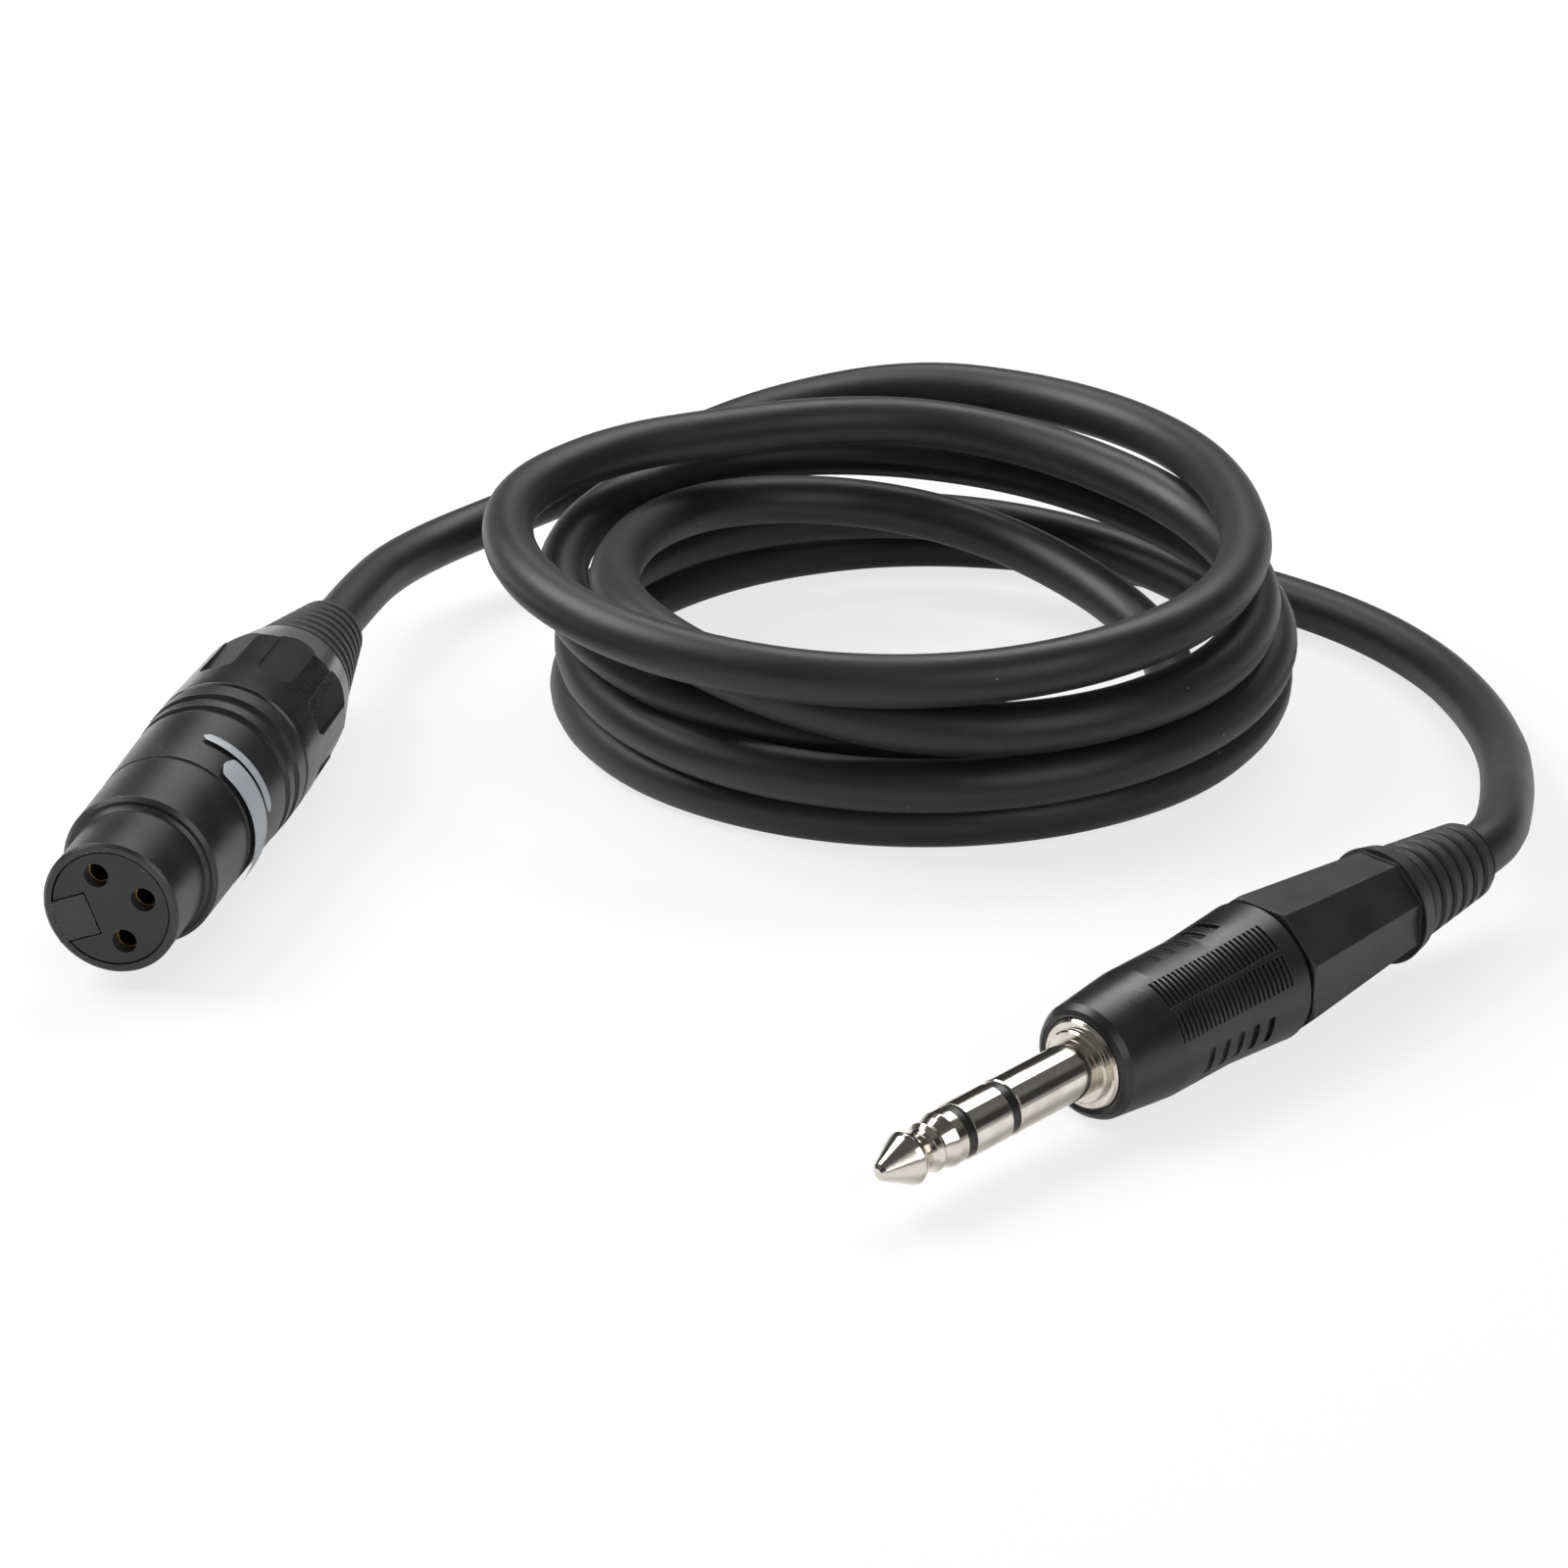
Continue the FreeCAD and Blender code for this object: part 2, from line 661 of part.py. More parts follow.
def xlr_bushing():
    body = part_body("xlr_bushing")
    spigot = "thread_bore_radius - running_gap"
    front = "bushing_front"
    turned(body, "BushingTurned", [
        (front + " - bushing_spigot_length", "bushing_bore_radius"),
        (front + " - bushing_spigot_length", spigot + " - 0.4"),
        (front + " - bushing_spigot_length + 0.4", spigot),
        (front, spigot),
        (front, "shell_radius - 0.3"),
        (front + " + 0.3", "shell_radius"),
        (front + " + 2", "shell_radius"),
        (front + " + bushing_shoulder - 0.3", "shell_radius - bushing_shoulder_fall"),
        (front + " + bushing_shoulder + 0.3", "shell_radius - bushing_shoulder_fall - 0.15"),
        ("bushing_end - 0.6", "bushing_end_radius"),
        ("bushing_end", "bushing_end_radius - 0.4"),
        ("bushing_end", "mouth_radius"),
        ("bushing_end - mouth_length", "mouth_radius"),
        ("bushing_end - mouth_length", "bushing_bore_radius - 0.5"),
        ("bushing_end - 2 * mouth_length", "bushing_bore_radius - 0.5"),
        ("bushing_end - 2 * mouth_length - 1", "bushing_bore_radius"),
    ])
    half = "bushing_flat_width / 2"
    flat = slab(body, "BushingFlat", [
        ("bushing_flat_start + 1.5", "-" + half),
        ("bushing_end + 2", "-" + half),
        ("bushing_end + 2", half),
        ("bushing_flat_start + 1.5", half),
        ("bushing_flat_start + 0.4", half + " - 0.6"),
        ("bushing_flat_start", half + " - 1.4"),
        ("bushing_flat_start", "-(%s - 1.4)" % half),
        ("bushing_flat_start + 0.4", "-(%s - 0.6)" % half),
    ], "bushing_flat_distance", "shell_radius + 1", cut=True)
    spread(body, "BushingFlats", [flat], 8)
    return body


def sleeve_boot(name, front, end, front_radius, end_radius, rings):
    """A ribbed rubber boot, held in the bushing's mouth by its flanged neck."""
    body = part_body(name)
    bore = "cable_radius + running_gap"
    profile = ring_profile(front, end, front_radius, end_radius, rings, bore)
    flange = front + " - neck_length"
    neck = [
        (front, "neck_radius"),
        (flange + " + 1.2", "neck_radius"),
        (flange + " + 1.2", "neck_radius + neck_flange"),
        (flange, "neck_radius + neck_flange"),
        (flange, bore),
    ]
    turned(body, name + "Turned", list(reversed(neck)) + profile[1:-1] + [(end, bore)])
    return body


# ---- plug -------------------------------------------------------------------

def jack_tip():
    body = part_body("jack_tip")
    turned(body, "TipTurned", [
        ("0", "0"),
        ("0.12", "0.55"),
        ("0.5", "1.0"),
        ("tip_widest - 0.5", "tip_radius - 0.2"),
        ("tip_widest", "tip_radius"),
        ("tip_widest + 0.4", "tip_radius - 0.15"),
        ("tip_neck_place - 0.4", "tip_neck_radius + 0.15"),
        ("tip_neck_place", "tip_neck_radius"),
        ("tip_neck_place + 0.6", "tip_neck_radius + 0.1"),
        ("tip_neck_place + 1.1", "tip_neck_radius + 0.6"),
        ("tip_neck_place + 1.7", "tip_neck_radius + 0.25"),
        ("tip_length - 1.9", "tip_radius - 0.15"),
        ("tip_length - 1.2", "plug_radius - 0.1"),
        ("tip_length", "plug_radius - 0.1"),
        ("tip_length", "tip_rod_radius"),
        ("tip_lug_back", "tip_rod_radius"),
        ("tip_lug_back", "0"),
    ])
    return body


def insulated_ring(name, front, end, radius, bore, tube_radius, tube_end):
    """A short collar at full plug size with a tube running back inside the plug."""
    body = part_body(name)
    turned(body, name + "Turned", [
        (front, bore),
        (front, radius),
        (end, radius),
        (end, tube_radius),
        (tube_end, tube_radius),
        (tube_end, bore),
    ])
    return body


def jack_sleeve():
    body = part_body("jack_sleeve")
    turned(body, "SleeveTurned", [
        ("sleeve_front", "outer_tube_radius"),
        ("sleeve_front", "plug_radius - 0.1"),
        ("sleeve_front + 0.15", "plug_radius"),
        ("collar_front - 0.7", "plug_radius"),
        ("collar_front - 0.7", "collar_step_radius - 0.2"),
        ("collar_front - 0.5", "collar_step_radius"),
        ("collar_front", "collar_step_radius"),
        ("collar_front", "collar_radius - 0.3"),
        ("collar_front + 0.3", "collar_radius"),
        ("collar_back", "collar_radius"),
        ("collar_back", "barrel_radius"),
        ("barrel_end", "barrel_radius"),
        ("barrel_end", "barrel_bore_radius"),
        ("collar_back + barrel_floor", "barrel_bore_radius"),
        ("collar_back + barrel_floor", "outer_tube_radius"),
    ])
    return body


def washer(name, front, end, bore, radius):
    body = part_body(name)
    turned(body, name + "Turned", [(front, bore), (front, radius), (end, radius), (end, bore)])
    return body


def solder_lug(name, front, end, bore, radius, side):
    """A washer on its tube with a tongue running back for the solder joint."""
    body = part_body(name)
    turned(body, name + "Turned", [(front, bore), (front, radius), (end, radius), (end, bore)])
    low, high = ("%s - 0.6" % radius, radius) if side > 0 else ("-(%s)" % radius, "0.6 - (%s)" % radius)
    slab(body, name + "Tongue", box_corners(front, "lug_end", "-0.9", "0.9"), low, high)
    return body


def jack_ground_clamp():
    """A tongue from the barrel that wraps the cable end."""
    body = part_body("jack_ground_clamp")
    turned(body, "ClampBand", [
        ("clamp_front", "cable_radius"),
        ("clamp_front", "cable_radius + clamp_strip"),
        ("clamp_back", "cable_radius + clamp_strip"),
        ("clamp_back", "cable_radius"),
    ])
    slab(body, "ClampTongue", box_corners(
        "barrel_end - 4", "clamp_back", "cable_radius + 0.2", "barrel_bore_radius - 0.12"),
         "-1", "1")
    slab(body, "ClampSlit", box_corners(
        "clamp_front - 1", "clamp_back + 1.2", "-cable_radius - 2", "-cable_radius + 1"),
         "-0.6", "0.6", cut=True)
    return body


def comb_outline():
    """Side view of the grip's rib cutter: thin teeth hanging from a spine outside."""
    start = value("rib_start")
    pitch = value("rib_pitch")
    floor = value("grip_radius - rib_depth")
    crown = value("grip_end_radius + 0.6")
    spine = crown + 1.0
    tooth = 0.45 * pitch
    count = int(value("rib_count"))
    teeth = []
    for index in range(count):
        front = start + index * pitch
        teeth += [(front, crown), (front, floor), (front + tooth, floor), (front + tooth, crown)]
    last = start + (count - 1) * pitch + tooth
    return [(start, spine)] + teeth[1:-1] + [(last, spine)]


def jack_grip():
    body = part_body("jack_grip")
    spigot_bore = "cap_spigot_radius + running_gap"
    turned(body, "GripTurned", [
        ("grip_front", "collar_radius + seat_gap"),
        ("grip_front - 0.3", "grip_front_radius - 0.5"),
        ("grip_front", "grip_front_radius"),
        ("grip_front + 0.8", "grip_front_radius + 0.45"),
        ("grip_front + 6.5", "grip_radius - 0.25"),
        ("grip_front + 9", "grip_radius"),
        ("grip_end - 10", "grip_radius"),
        ("grip_end - 2.2", "grip_end_radius - 0.15"),
        ("grip_end - 0.4", "grip_end_radius"),
        ("grip_end", "grip_end_radius - 0.4"),
        ("grip_end", spigot_bore),
        ("grip_end - cap_spigot_length - 2", spigot_bore),
        ("grip_end - cap_spigot_length - 2", "barrel_radius + seat_gap"),
        ("collar_back", "barrel_radius + seat_gap"),
        ("collar_back", "collar_radius + seat_gap"),
    ])
    # three raised pads, each with two panels of fine ribs either side of a ridge
    combs = []
    for side in (-1, 1):
        turn = side * value("rib_turn")
        sketch = new_sketch(body, "Comb%d_outline" % len(combs), "XZ_Plane", turn=turn)
        spots = comb_outline()
        for index, spot in enumerate(spots):
            after = spots[(index + 1) % len(spots)]
            line = Part.LineSegment(FreeCAD.Vector(*spot, 0), FreeCAD.Vector(*after, 0))
            sketch.addGeometry(line, False)
        comb = body.newObject("PartDesign::Pocket", "Comb%d" % len(combs))
        comb.Profile = sketch
        comb.Type = 0
        comb.Midplane = True
        bind(comb, "Length", "rib_panel_width")
        DOC.recompute()
        combs.append(comb)
    grooves = []
    for step in range(int(value("short_grooves"))):
        start = "rib_start + 4 + %d * short_groove_pitch" % step
        grooves.append(slab(body, "Groove%d" % step, box_corners(
            start, start + " + 1.0", "-1.7", "1.7"), "grip_radius - 0.3", "grip_end_radius + 1",
            cut=True, turn=60.0))
    spread(body, "GripPattern", combs + grooves, 3)
    return body


def jack_cap():
    body = part_body("jack_cap")
    front = "cap_front"
    turned(body, "CapTurned", [
        (front + " - cap_spigot_length", "cap_bore_radius"),
        (front + " - cap_spigot_length", "cap_spigot_radius - 0.3"),
        (front + " - cap_spigot_length + 0.3", "cap_spigot_radius"),
        (front, "cap_spigot_radius"),
        (front, "cap_radius - 0.5"),
        (front + " + 0.5", "cap_radius"),
        (front + " + 3", "cap_radius"),
        ("cap_end - 3", "cap_end_radius + 0.5"),
        ("cap_end - 0.5", "cap_end_radius"),
        ("cap_end", "cap_end_radius - 0.5"),
        ("cap_end", "mouth_radius"),
        ("cap_end - mouth_length", "mouth_radius"),
        ("cap_end - mouth_length", "cap_bore_radius"),
    ])
    sketch = new_sketch(body, "CapFlat_outline", "XZ_Plane")
    draw_outline(sketch, [
        (front + " - 0.1", "cap_flat_distance"),
        ("cap_end - 2.5", "cap_flat_end_distance"),
        ("cap_end - 2.5", "cap_radius + 1"),
        (front + " - 0.1", "cap_radius + 1"),
    ])
    flat = body.newObject("PartDesign::Pocket", "CapFlat")
    flat.Profile = sketch
    flat.Type = 0
    flat.Midplane = True
    bind(flat, "Length", "1.4 * cap_radius")
    DOC.recompute()
    spread(body, "CapFlats", [flat], 8)
    return body


def plain_cable(name, front, end):
    body = part_body(name)
    turned(body, name + "Turned", [(front, "0"), (front, "cable_radius"),
                                   (end, "cable_radius"), (end, "0")])
    return body


def coil_ring(body, name, shift_x, shift_y, corners):
    """A ring of the coil's outer shape, spun about an upright line."""
    sketch = new_sketch(body, name + "_outline", "XZ_Plane")
    sketch.setExpression("AttachmentOffset.Base.x", bound(shift_x))
    sketch.setExpression("AttachmentOffset.Base.z", bound("-(%s)" % shift_y))
    draw_outline(sketch, corners)
    ring = body.newObject("PartDesign::Revolution", name)
    ring.Profile = sketch
    ring.ReferenceAxis = (sketch, ["V_Axis"])
    ring.Angle = 360.0
    DOC.recompute()
    return ring


def cable_coil():
    body = part_body("cable_coil")
    for name, prefix, low in (("LowerTurns", "coil", "0"),
                              ("UpperTurns", "coil_top", "coil_height - coil_overlap")):
        inner = prefix + "_inner_radius"
        outer = prefix + "_outer_radius"
        high = prefix + "_height"
        coil_ring(body, name, prefix + "_x", prefix + "_y", [
            (inner + " + coil_rounding", low),
            (outer + " - coil_rounding", low),
            (outer, low + " + coil_rounding"),
            (outer, high + " - coil_rounding"),
            (outer + " - coil_rounding", high),
            (inner + " + coil_rounding", high),
            (inner, high + " - coil_rounding"),
            (inner, low + " + coil_rounding"),
        ])
    return body


# ---- build every piece ------------------------------------------------------

def lay_down(pieces, prefix, height):
    """Put a connector's pieces on the floor, pointing its way and rolled about its axis."""
    climb = math.degrees(math.atan(value(prefix + "_rise")))
    spin = FreeCAD.Rotation(FreeCAD.Vector(0, 0, 1), value(prefix + "_turn"))
    spin = spin.multiply(FreeCAD.Rotation(FreeCAD.Vector(0, 1, 0), -climb))
    spin = spin.multiply(FreeCAD.Rotation(FreeCAD.Vector(1, 0, 0), value(prefix + "_roll")))
    base = FreeCAD.Vector(value(prefix + "_x"), value(prefix + "_y"), value(height))
    place = FreeCAD.Placement(base, spin)
    for piece, shift in pieces:
        piece.Placement = place.multiply(FreeCAD.Placement(shift, FreeCAD.Rotation()))
    return place


CENTRE = FreeCAD.Vector(0, 0, 0)


def inner_wires(prefix, place, ends, start, finish, names, leave=0.36, arrive=0.7):
    """Insulated conductors from the terminals to where the cable's jacket begins.

    leave and arrive say how far along the way each one bends off its terminal and into the cable.
    """
    core = value("wire_circle")
    for (label, (across, along)), angle in zip(zip(names, ends), (90, 210, 330)):
        inner_y = core * math.cos(math.radians(angle))
        inner_z = core * math.sin(math.radians(angle))
        run = finish - start
        points = [(start, across, along), (start + leave * run, across, along),
                  (start + arrive * run, inner_y, inner_z), (finish, inner_y, inner_z)]
        laid = [place.multVec(FreeCAD.Vector(*point)) for point in points]
        cable_run(prefix + label, laid, value("wire_radius"), report=False)


def build_socket():
    circle = "contact_circle_radius"
    minus = "-" + circle
    pieces = [(xlr_shell(), CENTRE), (xlr_insert(), CENTRE)]
    pieces += [xlr_contact(1, circle, "0"), xlr_contact(2, minus, "0"), xlr_contact(3, "0", minus)]
    pieces += [(make(), CENTRE) for make in (
        xlr_ground_spring, latch_lever, latch_pin, latch_spring, xlr_bushing)]
    pieces.append((chuck("xlr_chuck", "chuck_front", "chuck_length", "chuck_radius",
                         "chuck_end_radius"), CENTRE))
    pieces.append((sleeve_boot("xlr_boot", "boot_front", "boot_end", "boot_front_radius",
                               "boot_end_radius", "boot_rings"), CENTRE))
    pieces.append((plain_cable("cable_end_xlr", "socket_cable_start", "boot_end - 1"), CENTRE))
    place = lay_down(pieces, "socket", "shell_radius")
    reach = value(circle)
    inner_wires("xlr_wire_", place, [(reach, 0), (-reach, 0), (0, -reach)],
                value("contact_length - solder_cup_depth"), value("socket_cable_start"),
                ("1", "2", "3"), leave=0.48, arrive=0.78)
    return place


def build_plug():
    pieces = [jack_tip(), jack_sleeve(), jack_grip(), jack_cap(), jack_ground_clamp()]
    pieces.append(insulated_ring("jack_insulator_front", "tip_length", "ring_front",
                                 "plug_radius - insulator_recess", "tip_rod_radius", "inner_tube_radius",
                                 "tip_lug_front"))
    pieces.append(insulated_ring("jack_ring", "ring_front", "ring_end", "plug_radius",
                                 "inner_tube_radius", "ring_tube_radius", "ring_lug_back"))
    pieces.append(insulated_ring("jack_insulator_rear", "ring_end", "sleeve_front",
                                 "plug_radius - insulator_recess", "ring_tube_radius", "outer_tube_radius",
                                 "stack_front"))
    pieces.append(washer("jack_washer_front", "stack_front", "ring_lug_front",
                         "ring_tube_radius", "front_washer_radius"))
    pieces.append(washer("jack_washer_rear", "ring_lug_back", "tip_lug_front",
                         "inner_tube_radius", "rear_washer_radius"))
    pieces.append(solder_lug("jack_lug_ring", "ring_lug_front", "ring_lug_back",
                             "ring_tube_radius", "ring_lug_radius", -1))
    pieces.append(solder_lug("jack_lug_tip", "tip_lug_front", "tip_lug_back",
                             "tip_rod_radius", "tip_lug_radius", 1))
    pieces.append(chuck("jack_chuck", "plug_chuck_front", "plug_chuck_length",
                        "plug_chuck_radius", "plug_chuck_end_radius"))
    pieces.append(sleeve_boot("jack_boot", "tail_front", "tail_end", "tail_front_radius",
                              "tail_end_radius", "tail_rings"))
    pieces.append(plain_cable("cable_end_jack", "plug_cable_start", "tail_end - 1"))
    pieces = [(piece, CENTRE) for piece in pieces]
    place = lay_down(pieces, "plug", "plug_height")
    # each wire lies on the outer side of its tongue
    tip_side = value("tip_lug_radius + wire_radius")
    ring_side = -value("ring_lug_radius + wire_radius")
    clamp_side = value("cable_radius + 0.15 - wire_radius")
    inner_wires("jack_wire_", place, [(0, tip_side), (0, ring_side), (clamp_side, 0)],
                value("lug_end - 2"), value("plug_cable_start"), ("tip", "ring", "ground"))
    return place


SOCKET = build_socket()
PLUG = build_plug()
cable_coil()

socket_exit = SOCKET.multVec(FreeCAD.Vector(value("boot_end - 1"), 0, 0))
socket_way = SOCKET.Rotation.multVec(FreeCAD.Vector(1, 0, 0))
cable_run("cable_lead_xlr", [
    socket_exit,
    socket_exit + socket_way * 15,
    (-50.02, 104.87, 9.0),
    (-34.02, 118.37, 12.0),
    (-14.02, 122.37, 17.0),
    (2.98, 120.07, 21.2),
], value("cable_radius"))

plug_exit = PLUG.multVec(FreeCAD.Vector(value("tail_end - 1"), 0, 0))
plug_way = PLUG.Rotation.multVec(FreeCAD.Vector(1, 0, 0))
cable_run("cable_lead_jack", [
    plug_exit,
    plug_exit + plug_way * 9,
    (90.78, 15.67, 9.8),
    (91.98, 27.87, 7.4),
    (91.28, 43.87, 5.2),
    (86.88, 63.37, 3.7),
    (75.78, 84.37, 3.25),
    (63.48, 99.37, 3.25),
    (49.98, 109.37, 3.25),
], value("cable_radius"))

DOC.recompute()
os.makedirs("parts", exist_ok=True)
for item in DOC.Objects:
    bad = [state for state in item.State if state in ("Invalid", "Error")]
    if bad:
        raise RuntimeError("%s is %s" % (item.Name, bad))
for node in NODES:
    if node.Shape.isNull() or not node.Shape.isValid():
        raise RuntimeError("%s has no valid shape" % node.Label)
    node.Shape.exportStep("parts/%s.step" % node.Label)
print("%d nodes" % len(NODES))
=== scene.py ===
"""Looks for a coiled audio cable with a three-pole socket and a stereo jack plug.

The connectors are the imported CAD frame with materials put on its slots. The cable is one curve,
and a few printed marks and numbers are pieces of their own.
"""

import json
import math

import bpy
from mathutils import Matrix, Vector


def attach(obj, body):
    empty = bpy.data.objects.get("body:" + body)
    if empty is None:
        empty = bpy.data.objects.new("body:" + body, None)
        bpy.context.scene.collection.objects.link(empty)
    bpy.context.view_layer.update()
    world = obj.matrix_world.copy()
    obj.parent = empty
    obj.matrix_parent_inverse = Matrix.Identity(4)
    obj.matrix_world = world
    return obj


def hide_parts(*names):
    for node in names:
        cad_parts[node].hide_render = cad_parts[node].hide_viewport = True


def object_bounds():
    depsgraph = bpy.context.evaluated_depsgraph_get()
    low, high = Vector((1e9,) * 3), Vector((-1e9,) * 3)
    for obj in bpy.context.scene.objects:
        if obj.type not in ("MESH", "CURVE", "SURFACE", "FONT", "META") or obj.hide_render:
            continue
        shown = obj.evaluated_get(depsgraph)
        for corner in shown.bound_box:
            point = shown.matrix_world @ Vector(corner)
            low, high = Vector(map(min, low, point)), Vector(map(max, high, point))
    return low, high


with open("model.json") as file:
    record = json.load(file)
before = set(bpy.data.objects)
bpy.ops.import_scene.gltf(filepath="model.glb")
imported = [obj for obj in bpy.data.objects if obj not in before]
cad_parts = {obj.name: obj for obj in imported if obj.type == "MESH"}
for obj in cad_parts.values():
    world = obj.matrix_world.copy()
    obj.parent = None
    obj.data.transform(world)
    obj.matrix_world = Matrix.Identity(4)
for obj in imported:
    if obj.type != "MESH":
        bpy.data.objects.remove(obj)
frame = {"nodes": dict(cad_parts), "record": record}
nodes = frame["nodes"]
record = frame["record"]
cad_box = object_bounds()
MM = 0.001

CABLE = 3.25 * MM  # the cable's radius
COIL = Vector((18.93, 69.77, 0.0))  # the coil's middle on the floor
SHELL = 10.1  # the socket shell's radius
INSERT_FACE = 0.1  # how far the insert's face lies behind the rim
NOSE_MIDDLE = 5.0  # from the socket's rim back to the middle of the nose mount
SLEEVE_MIDDLE = 24.5  # from the plug's tip back to the middle of the sleeve mount
INK_HEIGHT = 0.03  # how far printing stands on the surface
FINE_BEVEL = 6  # rays that look for an edge


# ---------------------------------------------------------------- places

mounts = {m["name"]: m for m in record["mounts"]}


def place(origin, back, side):
    """A connector's own frame: X towards the cable, Y to the side, in metres."""
    x = Vector(back).normalized()
    y = (Vector(side) - x * Vector(side).dot(x)).normalized()
    z = x.cross(y)
    turn = Matrix((x, y, z)).transposed().to_4x4()
    return Matrix.Translation(Vector(origin)) @ turn


nose = mounts["xlr_nose"]
forward = Vector(nose["axis"])
first, second = (Vector(mounts["xlr_contact_bore_%d" % n]["pos_m"]) for n in (1, 2))
SOCKET = place(Vector(nose["pos_m"]) + forward * NOSE_MIDDLE * MM, -forward, first - second)

pin = mounts["jack_plug"]
forward = Vector(pin["axis"])
level = Vector((-forward.y, forward.x, 0.0))
PLUG = place(Vector(pin["pos_m"]) + forward * SLEEVE_MIDDLE * MM, -forward, -level)


# ---------------------------------------------------------------- camera

camera_data = bpy.data.cameras.new("camera")
camera_data.lens = 103.5
camera_data.sensor_width = 36.0
camera_data.clip_start = 0.01
camera = bpy.data.objects.new("camera", camera_data)
camera.location = (0.00093, -0.47233, 0.2293)
camera.rotation_euler = (math.radians(66.0), 0.0, 0.0)
bpy.context.scene.collection.objects.link(camera)
bpy.context.scene.camera = camera


# ---------------------------------------------------------------- the cable's route

SOCKET_LEAD = [
    (-58.11, 67.33, 10.1),
    (-55.96, 77.83, 10.1),
    (-52.62, 90.87, 9.8),
    (-46.82, 101.67, 9.5),
    (-38.32, 109.47, 10.4),
    (-28.42, 114.67, 12.8),
    (-15.02, 118.47, 17.2),
    (-0.07, 120.37, 22.8),
]

# Each turn has eight stations, clockwise from the back: reach from the coil's middle, and height.
STATIONS = [
    (47.8, 27.4), (41.5, 27.6), (40.2, 27.2), (47.5, 25.4), (49.8, 23.0), (55.7, 25.2),
    (53.7, 28.0), (36.3, 28.0), (33.3, 26.8), (32.9, 24.2), (40.8, 20.4), (49.1, 17.7),
    (49.2, 16.3), (47.0, 22.0), (39.2, 20.2), (37.7, 17.6), (31.4, 14.5), (28.6, 10.1),
    (31.8, 6.5), (36.9, 6.8), (40.9, 10.3), (45.8, 15.0), (47.6, 18.4), (44.2, 21.0),
    (38.5, 20.2), (38.5, 17.4), (44.8, 13.5), (49.0, 10.9), (49.8, 9.3), (47.6, 9.2),
    (45.1, 10.2), (44.7, 10.2), (43.6, 9.6), (42.7, 8.2), (45.2, 6.6), (46.6, 4.3),
    (46.2, 3.25), (46.5, 3.25), (46.0, 3.25), (46.8, 3.25), (49.6, 3.25),
]

PLUG_LEAD = [
    (39.43, 115.77, 3.25),
    (53.98, 108.97, 3.25),
    (67.28, 99.27, 3.25),
    (78.58, 87.47, 3.25),
    (86.28, 72.97, 3.25),
    (89.58, 57.07, 4.0),
    (90.18, 41.27, 5.4),
    (88.88, 28.37, 7.0),
    (86.98, 17.17, 8.6),
    (84.98, 8.17, 9.5),
    (82.18, 2.47, 9.65),
    (78.95, -0.74, 9.5),
]


def between(values, step):
    """The table's value at a step, which may be half way between two stations."""
    i = min(int(step), len(values) - 2)
    t = step - i
    b, c = values[i], values[i + 1]
    a = values[i - 1] if i else 2 * b - c
    d = values[i + 2] if i + 2 < len(values) else 2 * c - b
    return b + 0.5 * t * (c - a + t * (2 * a - 5 * b + 4 * c - d + t * (3 * (b - c) + d - a)))


def turns():
    """The coil's points, sixteen to a turn."""
    reaches = [s[0] for s in STATIONS]
    heights = [s[1] for s in STATIONS]
    for k in range(2 * len(STATIONS) - 1):
        way = math.radians(90.0 - 22.5 * k)
        reach = between(reaches, k / 2)
        yield (COIL.x + reach * math.cos(way), COIL.y + reach * math.sin(way), between(heights, k / 2))


def nurbs(name, points, radius):
    """A smooth line through space in millimetres, with a round section of the given radius in metres.

    Blender widens a curve's box by the radius of its points, so they carry the real one and the bevel is 1.
    """
    data = bpy.data.curves.new(name, "CURVE")
    data.dimensions = "3D"
    spline = data.splines.new("NURBS")
    spline.points.add(len(points) - 1)
    for target, p in zip(spline.points, points):
        target.co = (p[0] * MM, p[1] * MM, p[2] * MM, 1.0)
        target.radius = radius
    spline.order_u = 3
    spline.use_endpoint_u = True
    spline.resolution_u = 8
    data.bevel_depth = 1.0
    data.bevel_resolution = 8
    data.use_fill_caps = True
    piece = bpy.data.objects.new(name, data)
    bpy.context.scene.collection.objects.link(piece)
    return piece


route = SOCKET_LEAD + list(turns()) + PLUG_LEAD
cable = nurbs("cable", route, CABLE)
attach(cable, "cable")
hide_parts("cable_lead_xlr", "cable_coil", "cable_lead_jack")


# ---------------------------------------------------------------- materials

